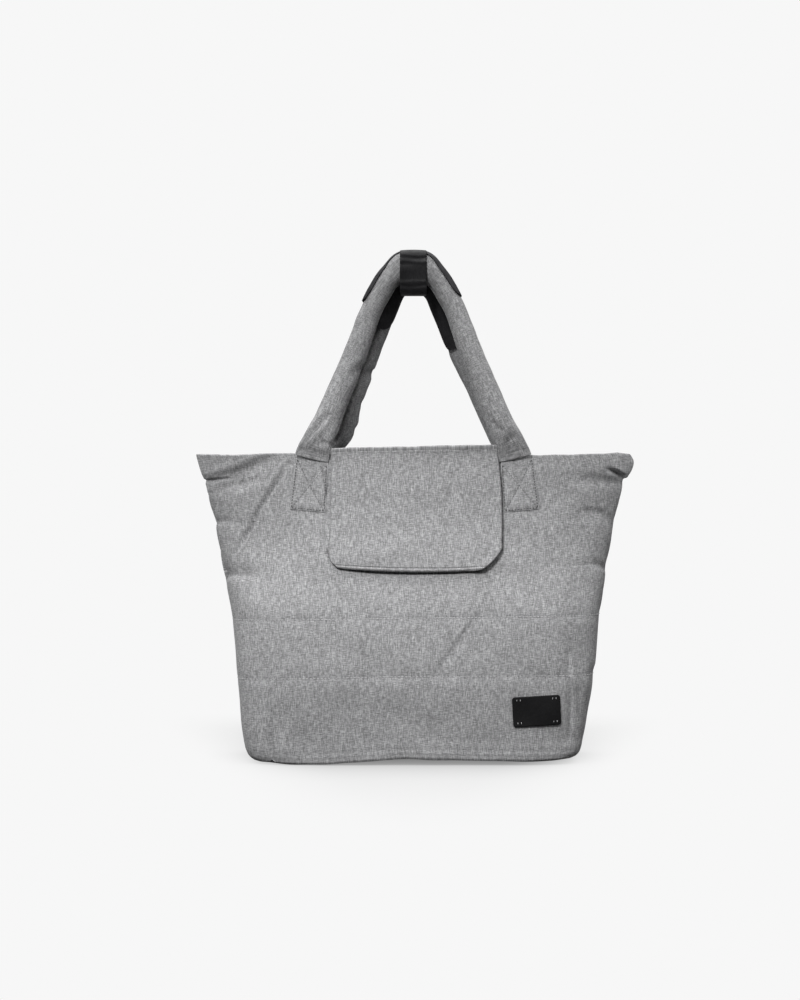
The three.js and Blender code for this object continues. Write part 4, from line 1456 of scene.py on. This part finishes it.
def stitch_runs(line, stitch, gap):
    """Start and end points of the stitches that fit along a line of points."""
    passed = lengths_along(line)
    count = max(1, int((passed[-1] + gap) // (stitch + gap)))
    starts = np.arange(count) * (stitch + gap) + (passed[-1] - count * (stitch + gap) + gap) / 2

    def places(lengths):
        return np.stack([np.interp(lengths, passed, values) for values in line.T], axis=-1)

    return places(starts), places(starts + stitch)


def stitch_piece(name, seams, material, outwards, stitch, gap, radius):
    """One mesh of stitches along several lines of points, in mm."""
    runs = [stitch_runs(line, stitch, gap) for line in seams]
    start, end = (np.concatenate(points) for points in zip(*runs))
    run = end - start
    side = unit(np.cross(run, outwards))
    lift = unit(np.cross(side, run))
    turn = np.linspace(0, 2 * np.pi, STITCH_SIDES, endpoint=False)
    share, size = STITCH_SHAPE.T
    arc = radius * np.sin(share * np.pi)
    centre = start[:, None] + run[:, None] * share[:, None] + lift[:, None] * arc[:, None]
    spoke = side[:, None] * np.cos(turn)[:, None] + lift[:, None] * np.sin(turn)[:, None]
    points = centre[:, :, None] + spoke[:, None] * (radius * size)[:, None, None]
    corner_rows, corner_columns = grid_cells(len(share), STITCH_SIDES, wrap=True)
    cells = corner_rows * STITCH_SIDES + corner_columns % STITCH_SIDES
    last = (len(share) - 1) * STITCH_SIDES
    cells = np.concatenate([cells, STITCH_CAP, last + STITCH_CAP[:, ::-1]])
    first = np.arange(len(start)) * len(share) * STITCH_SIDES
    faces = (cells[None] + first[:, None, None]).reshape(-1, 4)
    every_place = np.stack(np.meshgrid(share * stitch, turn * radius, indexing="ij"), axis=-1)
    places = np.tile(every_place.reshape(-1, 2)[cells], (len(start), 1, 1))
    piece = new_piece(name, points.reshape(-1, 3), [faces], [places], [material])
    return dress(piece, "grey_cloth")


# %% Stitch rows across the walls
QUILT_STITCH = {"stitch": 3.0, "gap": 0.9, "radius": 0.42}
QUILT_STITCH_FLOAT = 0.05
SEAM_MARGIN = 2
OUTWARDS = {FRONT: np.array([0.0, -1.0, 0.0]), BACK: np.array([0.0, 1.0, 0.0])}


def wall_line(outer, row, face):
    """The line of a stitch row over a wall's outer points."""
    line = []
    for c in range(SEAM_MARGIN, outer.shape[1] - SEAM_MARGIN):
        height = quilt_height(row, outer[len(WALL_ROWS) // 2, c, 0])
        at = np.interp(height, WALL_ROWS, np.arange(len(WALL_ROWS)))
        below = int(at)
        share = at - below
        line.append(outer[below, c] * (1 - share) + outer[below + 1, c] * share)
    return np.array(line) + QUILT_STITCH_FLOAT * OUTWARDS[face]


for name, outer, face in (("front", front_outer, FRONT), ("back", back_outer, BACK)):
    lines = [wall_line(outer, row, face) for row in QUILT_ROWS]
    stitch_piece(f"{name}_stitch_rows", lines, thread_light, OUTWARDS[face], **QUILT_STITCH)

# %% Tab stitches
TAB_STITCH = {"stitch": 2.4, "gap": 0.9, "radius": 0.42}
TAB_STITCH_FLOAT = 0.1
# Shares across and up a tab of the corners of its box of stitches
TAB_BOX = {
    "low_in": (0.04, 0.027),
    "low_out": (0.96, 0.027),
    "high_in": (0.04, 0.93),
    "high_out": (0.96, 0.93),
}
TAB_RUNS = {
    "edge": [("low_in", "low_out"), ("low_out", "high_out"), ("high_in", "low_in")],
    "cross": [("low_in", "high_out"), ("low_out", "high_in")],
}
# The edge stitches carry painted shade of the sewn edge, so their thread is darker than the cross's
TAB_THREADS = {"edge": edge_thread_painted_shade, "cross": thread_grey}
STITCH_POINTS = 40


def tab_seams(face, side, runs):
    """Lines of points over a tab, between corners of its box of stitches."""
    share = np.linspace(0, 1, STITCH_POINTS)
    off = TAB["float"] + TAB["thick"] + TAB_STITCH_FLOAT
    seams = []
    for start, end in runs:
        across, up = (np.outer(1 - share, TAB_BOX[start]) + np.outer(share, TAB_BOX[end])).T
        seams.append(tab_skin(face, side, across, up, off))
    return seams


for (face, side), tab in tabs.items():
    for name, runs in TAB_RUNS.items():
        piece_name = tab.name.replace("cloth", f"{name}_stitches")
        seams = tab_seams(face, side, runs)
        stitch_piece(piece_name, seams, TAB_THREADS[name], OUTWARDS[face], **TAB_STITCH)

# %% Label stitches
LABEL_STITCH = {"stitch": 2.0, "gap": 0.5, "radius": 0.35}
LABEL_STITCHES_ACROSS = (-20.5, -16.8, 17.5, 21.2)
LABEL_STITCHES_UP = (12.3, -12.0)

label_seams = []
for up in LABEL_STITCHES_UP:
    for across in LABEL_STITCHES_ACROSS:
        ends = up + LABEL_STITCH["stitch"] / 2 * np.array([-1.0, 1.0])
        off = LABEL_SKIN["float"] + LABEL_SKIN["thick"]
        label_seams.append(label_skin(np.full(2, across), ends, off))
stitch_piece("label_stitches", label_seams, thread_light, OUTWARDS[FRONT], **LABEL_STITCH)
